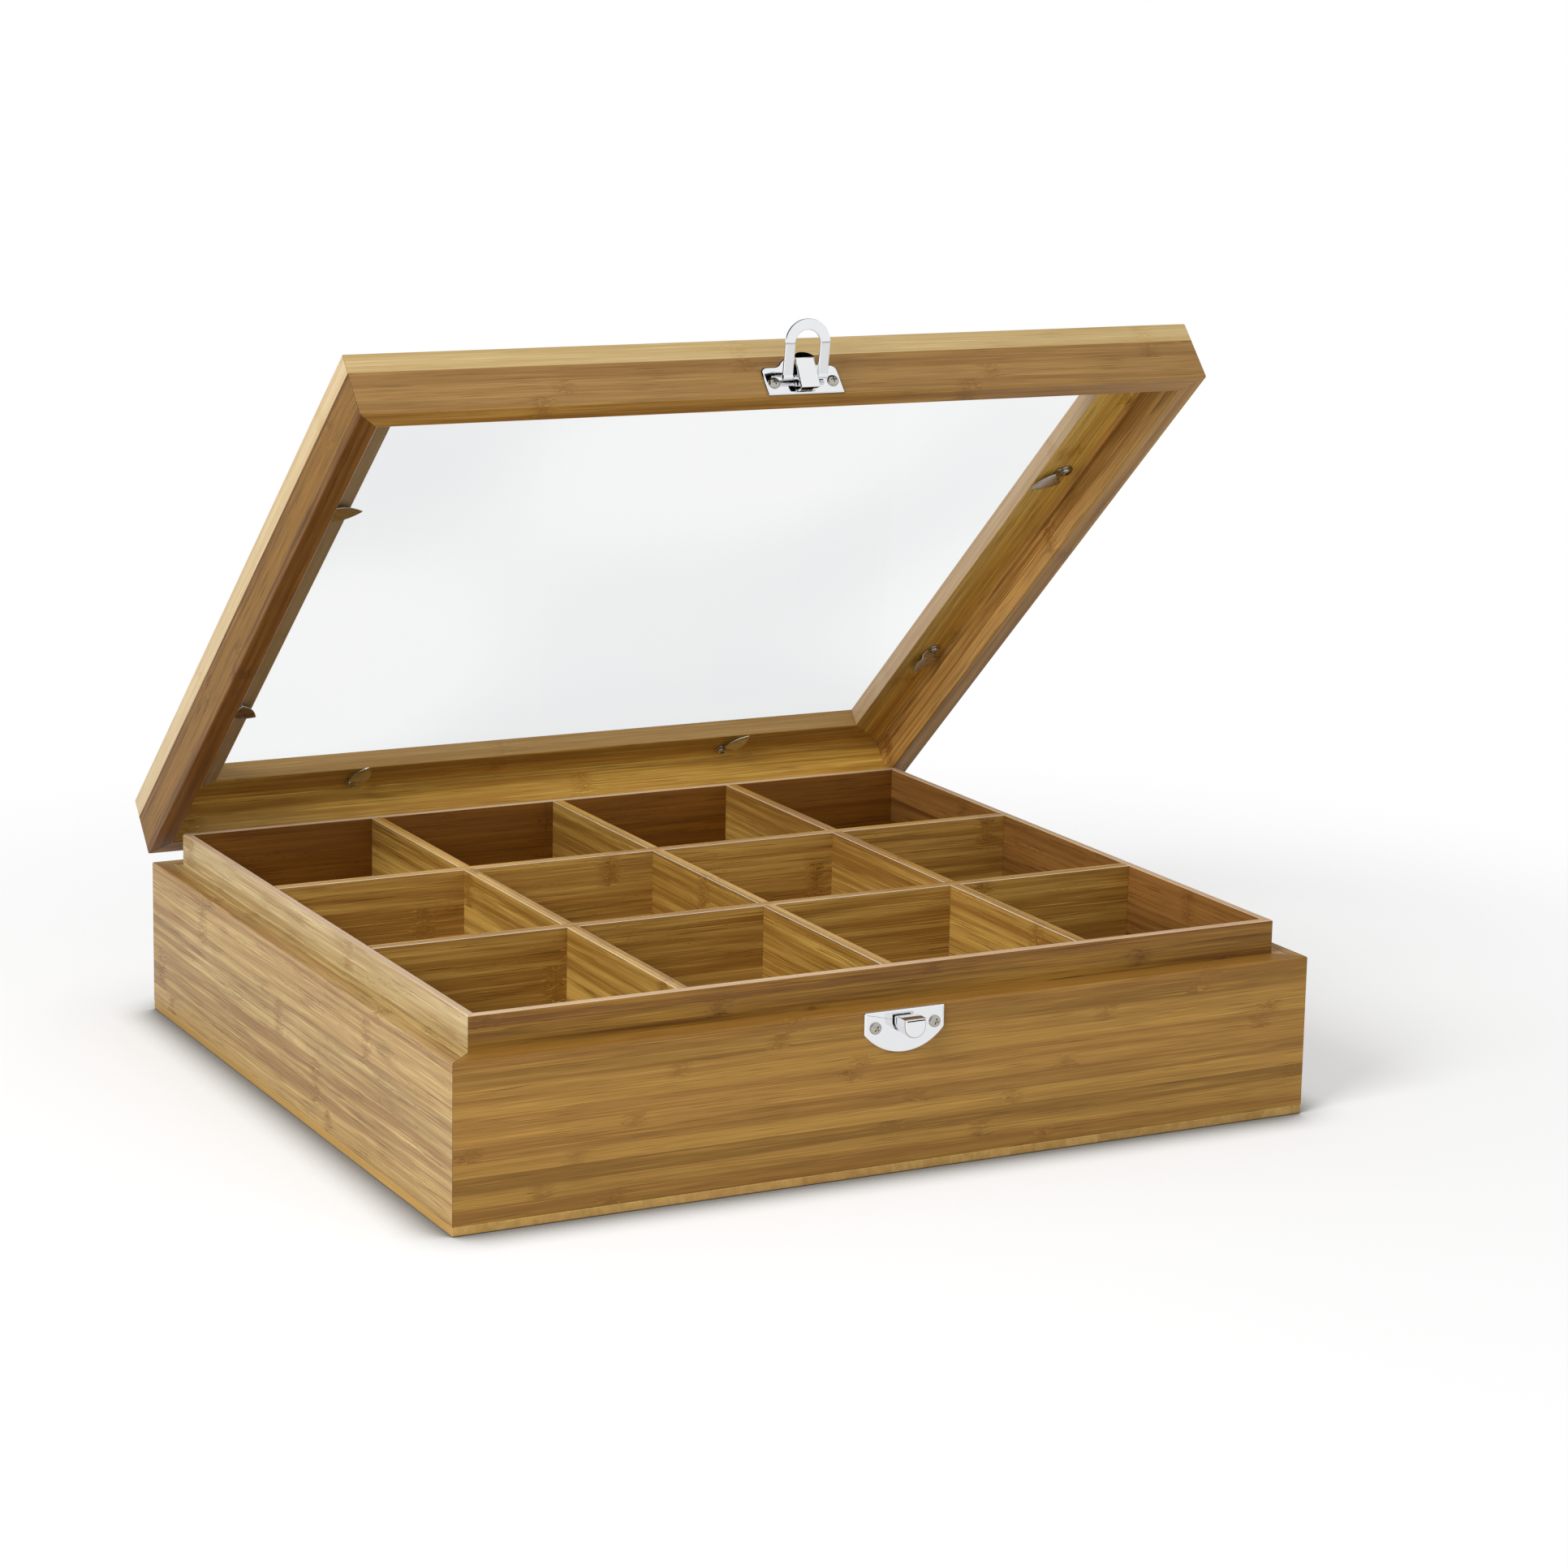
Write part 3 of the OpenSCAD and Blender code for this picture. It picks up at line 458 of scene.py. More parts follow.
def halvedDivider(node, alongX, centre, slots):
    # Its outline is swept through its thickness. Boards along x are slotted from below, the others from above
    span = (insideWidth if alongX else insideDepth) - 2 * box["dividerPlay"]
    low, high = box["bottom"], box["linerTop"]
    middle = (low + high) / 2 - (0 if alongX else box["dividerPlay"])
    half = box["divider"] / 2 + box["dividerPlay"]
    cut, whole = (low, high) if alongX else (high, low)
    outline = [(-span / 2, cut)]
    for s in slots:
        outline += [(s - half, cut), (s - half, middle), (s + half, middle), (s + half, cut)]
    outline += [(span / 2, cut), (span / 2, whole), (-span / 2, whole)]
    piece = grown("board_" + node, sectionMesh(outline if alongX else outline[::-1]), boardTree,
        {"length": box["divider"] * mm, "mitre": 0.0, "finish": bamboo["bambooDividerBoard"]})
    mesh, rounded = piece.data, bmesh.new()
    rounded.from_mesh(mesh)
    rim = [e for e in rounded.edges if all(abs(v.co.z - high * mm) < 1e-6 for v in e.verts)
        and abs(e.verts[0].co.x - e.verts[1].co.x) < 1e-7]
    bevelled(rounded, rim, arris["divider"], 2)
    rounded.to_mesh(mesh)
    rounded.free()
    # Top faces: sanded edge with painted top light
    mesh.materials.append(bamboo["sandedBambooEdge"])
    for polygon in mesh.polygons:
        polygon.use_smooth = True
        if polygon.normal.z > topFace and polygon.center.z > (high - 1) * mm:
            polygon.material_index = 1
    mesh.set_sharp_from_angle(angle=radians(20))
    storeGrain(mesh, Matrix(((0, 1, 0), (0, 0, 1), (1, 0, 0))), next(boardNumbers))
    # local x is the thickness and local y the length
    if alongX:
        toWorld = Matrix.Translation((0, centre * mm, 0)) @ turnBy(-90)
    else:
        toWorld = Matrix.Translation((centre * mm, 0, 0))
    settle(piece, toWorld, "box", "divider_bamboo", node)


columnPlaces = dividerPlaces(insideWidth, box["columns"])
rowPlaces = dividerPlaces(insideDepth, box["rows"])
for name, place in zip(("left", "centre", "right"), columnPlaces):
    halvedDivider("long_divider_" + name, False, place, rowPlaces)
for name, place in zip(("front", "rear"), rowPlaces):
    halvedDivider("cross_divider_" + name, True, place, columnPlaces)
print("dividers made")


def looseForm(rings):
    # Skins a row of rings, each with the same number of points, and closes its two ends
    form = bmesh.new()
    rows = [[form.verts.new(p) for p in ring] for ring in rings]
    for first, second in zip(rows, rows[1:]):
        for i in range(len(first)):
            form.faces.new((first[i - 1], first[i], second[i], second[i - 1]))
    form.faces.new(rows[0][::-1])
    form.faces.new(rows[-1])
    return form


def meshOf(name, form):
    mesh = bpy.data.meshes.new(name)
    form.to_mesh(mesh)
    form.free()
    return mesh


def addForm(form, other):
    mesh = meshOf("joined", other)
    form.from_mesh(mesh)
    bpy.data.meshes.remove(mesh)


def smoothPiece(name, form, finish):
    mesh = meshOf(name, form)
    mesh.polygons.foreach_set("use_smooth", [True] * len(mesh.polygons))
    mesh.materials.append(finish)
    return linked(name, mesh)


def shaped(name, form, finish, weighted=True):
    # Makes a closed form a piece whose flat faces stay flat and whose arrises shade round
    bmesh.ops.recalc_face_normals(form, faces=form.faces)
    piece = smoothPiece(name, form, finish)
    piece.data.set_sharp_from_angle(angle=radians(50 if weighted else 20))
    if weighted:
        piece.modifiers.new("evenFaces", "WEIGHTED_NORMAL").keep_sharp = True
    return piece


def slab(outline, low, high, rounding, steps=3, bothSides=False):
    # A flat plate from an outline in mm, its upper rim (or both rims) rounded
    form = bmesh.new()
    base = form.faces.new([form.verts.new((x * mm, y * mm, low * mm)) for x, y in outline])
    lifted = bmesh.ops.extrude_face_region(form, geom=[base])["geom"]
    bmesh.ops.translate(form, verts=[g for g in lifted if isinstance(g, bmesh.types.BMVert)],
        vec=(0, 0, (high - low) * mm))
    rims = [e for e in form.edges if all(abs(v.co.z - high * mm) < 1e-8 for v in e.verts)
        or bothSides and all(abs(v.co.z - low * mm) < 1e-8 for v in e.verts)]
    bevelled(form, rims, rounding, steps)
    return form


panel = {"corner": 0.5, "arris": 0.3, "boardNumber": 40}


def buildPanel():
    w, d, c = halfWidth, halfDepth, panel["corner"]
    outline = roundedSection([(-w, -d, c), (w, -d, c), (w, d, c), (-w, d, c)])
    form = slab(outline, 0, box["bottom"], panel["arris"], 2, bothSides=True)
    piece = shaped("board_bottom_panel", form, bamboo["sandedBambooPanel"], weighted=False)
    storeGrain(piece.data, Matrix(((0, 1, 0), (1, 0, 0), (0, 0, 1))), panel["boardNumber"])
    settle(piece, Matrix.Identity(4), "box", "panel_bamboo", "bottom_panel")


# Clear float glass, 2 mm: faintly green-grey, slightly greyer in soft patches about 150 mm across
glassLook = {"clear": "F6F7F7", "greyerPatch": "ECEDEE", "patches": 6.0, "grind": 0.35, "bend": 1.08}


def buildPane():
    material, t = blankMaterial("clearFloatGlass")
    place = t.add("ShaderNodeTexCoord", out="Object")
    cloud = t.add("ShaderNodeTexNoise", {"Vector": place, "Scale": glassLook["patches"], "Detail": 0.0})
    share = t.eased(cloud, 0.35, 0.65, 0.0, 1.0)
    t.surface("ShaderNodeBsdfPrincipled", {
        "Base Color": t.blend(share, linear(glassLook["clear"]), linear(glassLook["greyerPatch"])),
        "Roughness": 0.0, "IOR": glassLook["bend"], "Transmission Weight": 1.0})
    w, d = halfWidth - box["paneInset"], halfDepth - box["paneInset"]
    top = box["wallTop"] + box["ledge"]
    form = slab([(-w, -d), (w, -d), (w, d), (-w, d)], top - box["pane"], top, glassLook["grind"], 2, True)
    piece = shaped("glass_sheet", form, material, weighted=False)
    # clear glass lets the light through to the wood behind it
    piece.visible_shadow = piece.visible_diffuse = False
    settle(piece, openLid, "lid", "clear_glass", "glass_pane")


buildPanel()
buildPane()
print("panel and glass made")

# colour, least and most roughness, height of its waves
metalLooks = {
    # Chromium over pressed steel: a cool mirror with faint waves from the press
    "brightChromePlate": ("E9EAEC", 0.03, 0.08, 0.05),
    # Tumbled nickel: warmer and softer than chrome
    "tumbledNickelPlate": ("B4B0A8", 0.2, 0.38, 0.1),
    # Zinc plate: grey, slightly cloudy
    "zincPlatedSteel": ("B7B9B9", 0.2, 0.36, 0.12),
    # Screw steel under thin nickel: grey-brown in its cross
    "nickeledScrewSteel": ("B3AFA6", 0.12, 0.3, 0.1),
    # Painted shade: dark metal for the pressed slot inside the hook, which lies out of the light
    "bareSteelSlot": ("3A332B", 0.4, 0.55, 0.1),
}


def metalMaterial(name, colour, smooth, dull, wave):
    material, t = blankMaterial(name)
    place = t.vectors("SCALE", t.add("ShaderNodeTexCoord", out="Object"), 1000.0)
    # clouds about 3 mm across, and fine marks about 0.3 mm across
    cloud = t.add("ShaderNodeTexNoise", {"Vector": place, "Scale": 0.33, "Detail": 3.0})
    marks = t.add("ShaderNodeTexNoise", {"Vector": place, "Scale": 3.0, "Detail": 2.0})
    dullness = t.ranged(t.times(cloud, marks), 0.15, 0.38, smooth, dull)
    bump = t.add("ShaderNodeBump", {"Strength": wave, "Distance": 0.0002, "Height": cloud})
    t.surface("ShaderNodeBsdfPrincipled", {"Base Color": linear(colour), "Metallic": 1.0,
        "Roughness": dullness, "Normal": bump})
    return material


metals = {name: metalMaterial(name, *look) for name, look in metalLooks.items()}
chrome = metals["brightChromePlate"]


def arc(centre, radius, first, last, steps):
    angles = [radians(first + (last - first) * k / steps) for k in range(steps + 1)]
    return [(centre[0] + radius * cos(a), centre[1] + radius * sin(a)) for a in angles]


def ringAt(place, side, rise, halfSide, halfRise, corner):
    # Rounded rectangle round a place, spanned by two directions, in mm
    corners = [(halfSide, halfRise, corner), (-halfSide, halfRise, corner),
        (-halfSide, -halfRise, corner), (halfSide, -halfRise, corner)]
    return [(place + side * p.x + rise * p.y) * mm for p in roundedSection(corners)]


def turned(axis, across, profile, sides=32):
    # Lathe: profile is a list of (along the axis, radius) in mm
    other = axis.cross(across)
    around = [2 * pi * k / sides for k in range(sides)]
    return looseForm([[(axis * x + (across * cos(a) + other * sin(a)) * r) * mm for a in around]
        for x, r in profile])


# Catch: the strike plate on the box, with its pressed hook
strike = {"width": 32.0, "height": 15.8, "side": 8.2, "gap": 0.4, "thick": 1.1, "roll": 0.9,
    "topCorner": 0.7, "sideCorner": 0.8, "neck": 6.6, "head": 8.4, "top": 2.2, "bottom": 9.2,
    "neckOut": 3.6, "headDeep": 0.9, "out": 9.0, "fold": 0.85, "beadWider": 1.5, "beadOut": 0.42}


def hookOutline(width, top, bottom, corner=0.3):
    # Flat across the top and round below
    half = width / 2
    upper = roundedSection([(half, -top, corner), (-half, -top, corner), (-half, half - bottom, 0),
        (half, half - bottom, 0)])[:-2]
    return [(p.x, p.y) for p in upper] + arc((0, half - bottom), half, 180, 360, 14)


def buildStrike():
    s = SimpleNamespace(**strike)
    half, drop, thick = s.width / 2, s.height - s.side, s.thick
    radius = (half ** 2 + drop ** 2) / (2 * drop)
    lean = degrees(asin(half / radius))
    centre = (0, -s.gap - s.height + radius)
    lower = [(x, y, 0) for x, y in arc(centre, radius, 270 - lean, 270 + lean, 24)]
    for end in (0, -1):
        lower[end] = lower[end][:2] + (s.sideCorner,)
    corners = [(-half, -s.gap, s.topCorner), *lower, (half, -s.gap, s.topCorner)]
    form = slab(roundedSection(corners), 0, thick, s.roll, 5)
    # the bead round the pressed slot
    addForm(form, slab(hookOutline(s.neck + s.beadWider, s.top + 0.5, s.bottom - 0.6),
        thick - 0.1, thick + s.beadOut, 0.3))
    addForm(form, slab(hookOutline(s.head, s.top, s.bottom), s.neckOut - s.headDeep,
        s.out, s.fold, 5))
    settle(shaped("strike_pressing", form, chrome), frontFace, "box", "bright_chrome", "strike_plate")
    # The hook's root takes the dark metal: painted shade in the slot
    neck = slab(hookOutline(s.neck, s.top + 0.7, s.bottom - 1), thick - 0.2, s.neckOut, 0.05, 1)
    settle(shaped("strike_hook_root", neck, metals["bareSteelSlot"]), frontFace, "box", "bright_chrome")


# Latch on the lid: plate, lever and link
latch = {"width": 30.6, "earHeight": 12.2, "earRadius": 2.5, "headRadius": 9.2, "headHeight": 7.6,
    "gap": 0.1, "thick": 1.1, "roll": 0.9, "fillet": 3.0, "lugRadius": 1.45, "lugThick": 0.8,
    "lugPlay": 0.15}
lever = {"halfWidth": 3.95, "sheet": 0.6, "foot": (0.0, 5.0), "shoulder": (10.8, 7.4), "cheekTop": 3.4,
    "pin": (2.7, 3.2), "linkPin": (5.8, 3.1), "knuckle": 1.9, "boss": 1.75, "fold": 0.8, "arris": 0.1,
    "tabReach": 3.75, "tabWidth": 3.85, "tabLean": 24.0, "tabCurl": 16.0, "tabColumns": 16, "tabRows": 12}
link = {"leg": 12.0, "inner": 5.0, "strap": 4.0, "thick": 1.0, "bend": 10.0, "bendLength": 0.25,
    "lean": 50.0, "corner": 0.28, "barrel": 1.15, "trunnion": 0.9, "reach": 3.2}
latchFace = openLid @ frontFace


def buildLatchPlate():
    s = SimpleNamespace(**latch)
    half = s.width / 2
    # ear, fillet and round head of the right half, then the same mirrored
    lift = s.earHeight + s.fillet - s.headHeight
    reach = sqrt((s.headRadius + s.fillet) ** 2 - lift ** 2)
    tangent = degrees(atan2(lift, reach))
    right = [(half, s.gap)]
    right += arc((half - s.earRadius, s.earHeight - s.earRadius), s.earRadius, 0, 90, 7)
    right += arc((reach, s.earHeight + s.fillet), s.fillet, 270, 180 + tangent, 5)
    right += arc((0, s.headHeight), s.headRadius, tangent, 90, 14)[1:]
    outline = right + [(-x, y) for x, y in reversed(right[:-1])]
    form = slab(outline, 0, s.thick, s.roll, 5)
    lugAt = lever["halfWidth"] - lever["sheet"] - s.lugPlay - s.lugThick / 2
    pinHeight, root = lever["pin"][0], s.thick - 0.2
    lug = [(pinHeight + s.lugRadius, root), *arc(lever["pin"], s.lugRadius, 0, 180, 12),
        (pinHeight - s.lugRadius, root)]
    for side in (-1, 1):
        addForm(form, looseForm([[Vector((side * lugAt + x, h, out)) * mm for h, out in lug]
            for x in (-s.lugThick / 2, s.lugThick / 2)]))
    settle(shaped("latch_pressing", form, chrome), latchFace, "lid", "bright_chrome", "latch_plate")


def buildLever():
    # A folded sheet: cheek, front and cheek in one, with a rounded thumb tab on top
    s = SimpleNamespace(**lever)
    half, foot, shoulder = s.halfWidth, s.foot, s.shoulder
    cheek = [foot] + arc(s.pin, s.knuckle, 195, 270, 6) + arc(s.linkPin, s.boss, 270, 325, 5)
    cheek += [(shoulder[0], s.cheekTop), shoulder]
    form = bmesh.new()
    sides = [[form.verts.new(Vector((x, h, out)) * mm) for h, out in cheek] for x in (-half, half)]
    form.faces.new(sides[0])
    form.faces.new(sides[1][::-1])
    form.faces.new((sides[0][0], sides[0][-1], sides[1][-1], sides[1][0]))
    folds = [e for e in form.edges if len(e.link_faces) == 2]
    bevelled(form, folds, s.fold, 5)
    lean = atan2(shoulder[1] - foot[1], shoulder[0] - foot[0])
    rows, spot, before = [], Vector(shoulder), 0
    for k in range(s.tabRows + 1):
        share = sin(pi / 2 * k / s.tabRows)
        bend = min(share / 0.25, 1)
        tilt = lean - radians(s.tabLean) * bend * (2 - bend) - radians(s.tabCurl) * share
        spot = spot + Vector((cos(tilt), sin(tilt))) * s.tabReach * (share - before)
        before = share
        width = s.tabWidth * sqrt(max(1 - share ** 2, 0)) + 0.02
        rows.append([form.verts.new(Vector((width * (2 * i / s.tabColumns - 1), spot.x, spot.y)) * mm)
            for i in range(s.tabColumns + 1)])
    for lower, upper in zip(rows, rows[1:]):
        for i in range(s.tabColumns):
            form.faces.new((lower[i], lower[i + 1], upper[i + 1], upper[i]))
    bmesh.ops.recalc_face_normals(form, faces=form.faces)
    for face in form.faces:
        middle = face.calc_center_median()
        outward = Vector((middle.x, 0, 0)) if abs(face.normal.x) > 0.9 else Vector((0, 0, 1))
        if face.normal.dot(outward) < 0:
            face.normal_flip()
    piece = smoothPiece("latch_lever_folded", form, chrome)
    sheet = piece.modifiers.new("sheet", "SOLIDIFY")
    sheet.thickness = s.sheet * mm
    sheet.offset = -1
    edge = piece.modifiers.new("arris", "BEVEL")
    edge.width = s.arris * mm
    edge.segments = 2
    edge.limit_method = "ANGLE"
    edge.angle_limit = radians(50)
    piece.modifiers.new("evenFaces", "WEIGHTED_NORMAL").keep_sharp = True
    settle(piece, latchFace, "lever", "bright_chrome", "latch_lever")


def buildLink():
    # Flat strap round a U, bent once under the arch, each end rolled round a trunnion
    s = SimpleNamespace(**link)
    middle, leg, soft = s.inner + s.strap / 2, s.leg, s.bendLength
    legPlaces = (0, 4, 8, leg - soft)
    stations = [(-middle, y, 0) for y in legPlaces]
    stations += [(-middle * cos(a), leg + soft + (middle - soft) * sin(a), a)
        for a in [pi * k / 32 for k in range(33)]]
    stations += [(middle, y, pi) for y in reversed(legPlaces)]
    bend = (Matrix.Translation((0, leg * mm, 0)) @ turnBy(-s.bend, "X")
        @ Matrix.Translation((0, -leg * mm, 0)))
    rings = []
    for x, y, angle in stations:
        across = Vector((-cos(angle), sin(angle), 0))
        ring = ringAt(Vector((x, y, 0)), across, Vector((0, 0, 1)), s.strap / 2, s.thick / 2, s.corner)
        rings.append([bend @ p if p.y > leg * mm else p for p in ring])
    form = looseForm(rings)
    r, t, reach, first, last = s.barrel, s.trunnion, s.reach, s.inner, s.inner + s.strap
    profile = [(reach, 0.01), (reach, t), (first, t), (first, r - 0.25), (first + 0.1, r - 0.07),
        (first + 0.25, r), (last - 0.25, r), (last - 0.1, r - 0.07), (last, r - 0.25), (last, 0.01)]
    for side in (-1, 1):
        addForm(form, turned(Vector((side, 0, 0)), Vector((0, 1, 0)), profile))
    toWorld = (latchFace @ Matrix.Translation((0, lever["linkPin"][0] * mm, lever["linkPin"][1] * mm))
        @ turnBy(s.lean, "X"))
    settle(shaped("latch_link_strap", form, chrome), toWorld, "link", "bright_chrome", "latch_link")


buildStrike()
buildLatchPlate()
buildLever()
buildLink()
print("latch and catch made")

hinge = {"at": 100.0, "width": 30.0, "leaf": 14.0, "thick": 1.2, "back": 5.0, "drop": 5.0, "knuckle": 2.6,
    "gap": 0.5, "corner": 2.0, "eyeCorner": 0.2, "play": 0.1, "fold": 1.2, "arris": 0.25,
    "screwX": 10.0, "baseScrew": -12.5, "lidScrew": 8.0}


def foldedStrip(path, thick, first, last):
    # A strip of sheet along x whose section follows a path of (height, out) in mm
    outer, inner = [], []
    for i, p in enumerate(path):
        along = (Vector(path[min(i + 1, len(path) - 1)]) - Vector(path[max(i - 1, 0)])).normalized()
        across = Vector((-along.y, along.x)) * thick / 2
        outer.append(Vector(p) + across)
        inner.append(Vector(p) - across)
    form = bmesh.new()
    grid = [[form.verts.new(Vector((x, q.x, q.y)) * mm) for x in (first, last) for q in pair]
        for pair in zip(outer, inner)]
    for a, c in zip(grid, grid[1:]):
        for i, j in ((0, 2), (3, 1), (1, 0), (2, 3)):
            form.faces.new((a[i], a[j], c[j], c[i]))
    form.faces.new((grid[0][0], grid[0][1], grid[0][3], grid[0][2]))
    form.faces.new((grid[-1][0], grid[-1][2], grid[-1][3], grid[-1][1]))
    return form


def buildLeaf(node, at, onLid):
    s = SimpleNamespace(**hinge)
    t, r, half, fold = s.thick, s.knuckle - s.thick / 2, s.width / 2, s.fold
    eye, wide, tight = (-s.drop, s.back), s.corner, s.eyeCorner
    if onLid:
        low, high = s.gap, s.gap + s.leaf
        corners = [(half, low, tight), (half, high, wide), (-half, high, wide), (-half, low, tight)]
        turn = -s.drop + r
        path = [(low + 2, t / 2), (low + 0.6, t / 2), (low, t / 2 + 0.15), (turn + fold, t / 2 + 0.3)]
        path += arc((turn + fold, t / 2 + 0.3 + fold), fold, 270, 180, 5) + arc(eye, r, 0, 330, 28)
        spans = [(-half / 3 + s.play, half / 3 - s.play)]
    else:
        low, high = -s.drop - s.leaf, -s.drop - s.knuckle
        corners = [(half, low, wide), (half, high, tight), (-half, high, tight), (-half, low, wide)]
        turn = -s.drop - r
        path = [(turn - fold - 1.5, t / 2), (turn - fold, t / 2)]
        path += arc((turn - fold, t / 2 + fold), fold, -90, 0, 5) + arc(eye, r, 180, -150, 28)
        spans = [(-half, -half / 3), (half / 3, half)]
    form = slab([(p.x, p.y) for p in roundedSection(corners, 5)], 0, t, s.arris, 2)
    for first, last in spans:
        strip = foldedStrip(path, t, first, last)
        ends = [e for e in strip.edges if len(e.link_faces) == 2 and e.calc_face_angle(0) > 1.2]
        bevelled(strip, ends, 0.15, 2)
        addForm(form, strip)
    piece = shaped(node + "_rolled", form, metals["zincPlatedSteel"])
    face = rearFace @ Matrix.Translation((at * mm, 0, 0))
    settle(piece, openLid @ face if onLid else face, "lid" if onLid else "box", "plated_steel", node)


for name, at in (("left", hinge["at"]), ("right", -hinge["at"])):
    buildLeaf("hinge_" + name + "_base_leaf", at, False)
    buildLeaf("hinge_" + name + "_lid_leaf", at, True)
print("hinges made")

# Turn clips and screws. side, end of that side, and turn from square to the rail in degrees
clip = {"reach": 15.6, "halfWidth": 4.3, "eye": 2.8, "thick": 0.8, "play": 0.1, "drop": 2.1,
    "stepStart": 2.7, "stepEnd": 4.5}
clipAt = {"fromCorner": 86.0, "inFromFace": 14.0}
clipTurns = {"front_left": (0, -1, 15), "front_right": (0, 1, -20), "rear_left": (1, -1, 10),
    "rear_right": (1, 1, 28), "left_front": (2, -1, -8), "left_rear": (2, 1, 30),
    "right_front": (3, -1, -35), "right_rear": (3, 1, -75)}
screw = {"headRadius": 2.2, "headHeight": 1.1, "crossWidth": 0.62, "crossDepth": 0.7, "crossSpan": 2.7,
    "shankRadius": 1.08, "shankLength": 6.5, "pitch": 1.3}
plateScrews = {"x": 11.8, "strike": -6.2, "latch": 4.8}


def roundHead(t, radius, height, power):
    # A cone primitive bent to a rounded button: power 1 is a half ball, less is squarer
    maths, times, vectors = t.maths, t.times, t.vectors
    cone = t.add("GeometryNodeMeshCone", {"Vertices": 40, "Side Segments": 8, "Radius Top": 0.0,
        "Radius Bottom": 1.0, "Depth": 1.0})
    place = t.position()
    angle = times(t.split(place)[2], pi / 2)
    wide = maths("POWER", maths("COSINE", angle), power)
    tall = maths("POWER", maths("SINE", angle), power)
    outwards = vectors("NORMALIZE", vectors("MULTIPLY", place, (1, 1, 0)))
    level = vectors("SCALE", outwards, times(wide, radius))
    lifted = vectors("ADD", level, t.xyz(z=times(tall, height)))
    return t.moved(cone, lifted)


def buildScrewTree():
    # Cross-recessed pan heads on threaded shanks, one on each point, turned at random
    t, given = startTree("panHeadScrews", *screw, seeded=True)
    places, radius, height, crossWidth, crossDepth, crossSpan, girth, length, pitch, seed, finish = given
    maths, times, vectors = t.maths, t.times, t.vectors
    head = roundHead(t, radius, height, 0.62)
    carved = t.add("GeometryNodeMeshBoolean", out=None, operation="DIFFERENCE", solver="EXACT")
    t.tree.links.new(head, carved.inputs[0])
    for x, y in ((crossSpan, crossWidth), (crossWidth, crossSpan)):
        cutter = t.add("GeometryNodeMeshCube", {"Size": t.xyz(x, y, times(crossDepth, 2.0))})
        # the recess narrows towards its bottom
        place = t.position()
        narrow = t.ranged(maths("LESS_THAN", t.split(place)[2], 0.0), 0.0, 1.0, 1.0, 0.72)
        slim = vectors("MULTIPLY", place, t.xyz(narrow, narrow, 1.0))
        t.tree.links.new(t.moved(cutter, vectors("ADD", slim, t.xyz(z=height))), carved.inputs[1])
    shank = t.add("GeometryNodeMeshCylinder", {"Vertices": 14, "Side Segments": 44, "Radius": 1.0,
        "Depth": 1.0})
    x, y, z = t.split(t.position())
    depth = times(maths("SUBTRACT", z, 0.5), length)
    turns = maths("ADD", maths("ARCTAN2", y, x), times(maths("DIVIDE", depth, pitch), 2 * pi))
    ridge = t.ranged(maths("COSINE", turns), -1.0, 1.0, 0.8, 1.0)
    point = t.ranged(z, -0.5, -0.2, 0.12, 1.0)
    thread = times(times(ridge, point), girth)
    threaded = t.moved(shank, t.xyz(times(x, thread), times(y, thread), depth))
    facing = t.add("GeometryNodeInputNamedAttribute", {"Name": "facing"}, data_type="FLOAT_VECTOR")
    aimed = t.add("FunctionNodeAlignRotationToVector", {"Vector": facing}, axis="Z")
    lot = t.add("FunctionNodeRandomValue", {2: 0.0, 3: 2 * pi, "Seed": seed}, 1, data_type="FLOAT")
    spin = t.add("FunctionNodeAxisAngleToRotation", {"Axis": (0, 0, 1), "Angle": lot})
    rotation = t.add("FunctionNodeRotateRotation", {"Rotation": aimed, "Rotate By": spin},
        rotation_space="LOCAL")
    screws = t.add("GeometryNodeInstanceOnPoints", {"Points": places, "Rotation": rotation,
        "Instance": joined(t, carved.outputs[0], threaded)})
    return endTree(t, screws, finish, 30)


def buildClipTree():
    # Pointed blade with rounded edges, flat at its round eye and stepped down to the pane
    t, given = startTree("turnClipBlade", *clip)
    start, reach, halfBlade, eyeRadius, thick, play, drop, stepStart, stepEnd, finish = given
    maths, times, skins = t.maths, t.times, []
    for sign in (1.0, -1.0):
        grid = t.add("GeometryNodeMeshGrid", {"Size X": 2.0, "Size Y": 2.0, "Vertices X": 81, "Vertices Y": 17})
        x, y, z = t.split(t.position())
        halfLength = times(maths("ADD", reach, eyeRadius), 0.5)
        alongBlade = maths("MULTIPLY_ADD", x, halfLength, maths("SUBTRACT", reach, halfLength))
        swell = maths("SUBTRACT", 1.0, times(x, x))
        angle = times(y, pi / 2)
        acrossBlade = times(times(maths("SINE", angle), halfBlade), swell)
        round = maths("POWER", maths("MAXIMUM", maths("COSINE", angle), 0.0), 0.5)
        crown = times(round, maths("POWER", swell, 0.25))
        lifted = times(crown, times(thick, sign / 2))
        level = t.eased(alongBlade, stepStart, stepEnd, play, drop)
        height = maths("ADD", lifted, maths("MULTIPLY_ADD", thick, 0.5, level))
        skin = t.moved(grid, t.xyz(alongBlade, acrossBlade, height))
        skins.append(skin if sign > 0 else t.add("GeometryNodeFlipFaces", {"Mesh": skin}))
    blade = t.add("GeometryNodeMergeByDistance", {"Geometry": joined(t, *skins), "Distance": 2e-6})
    eye = t.add("GeometryNodeTransform", {"Geometry": roundHead(t, eyeRadius, thick, 0.3),
        "Translation": t.xyz(z=play)})
    return endTree(t, joined(t, blade, eye), finish, 50)


clipTree, screwTree = buildClipTree(), buildScrewTree()


def metres(sizes):
    return {key: value * mm for key, value in sizes.items()}


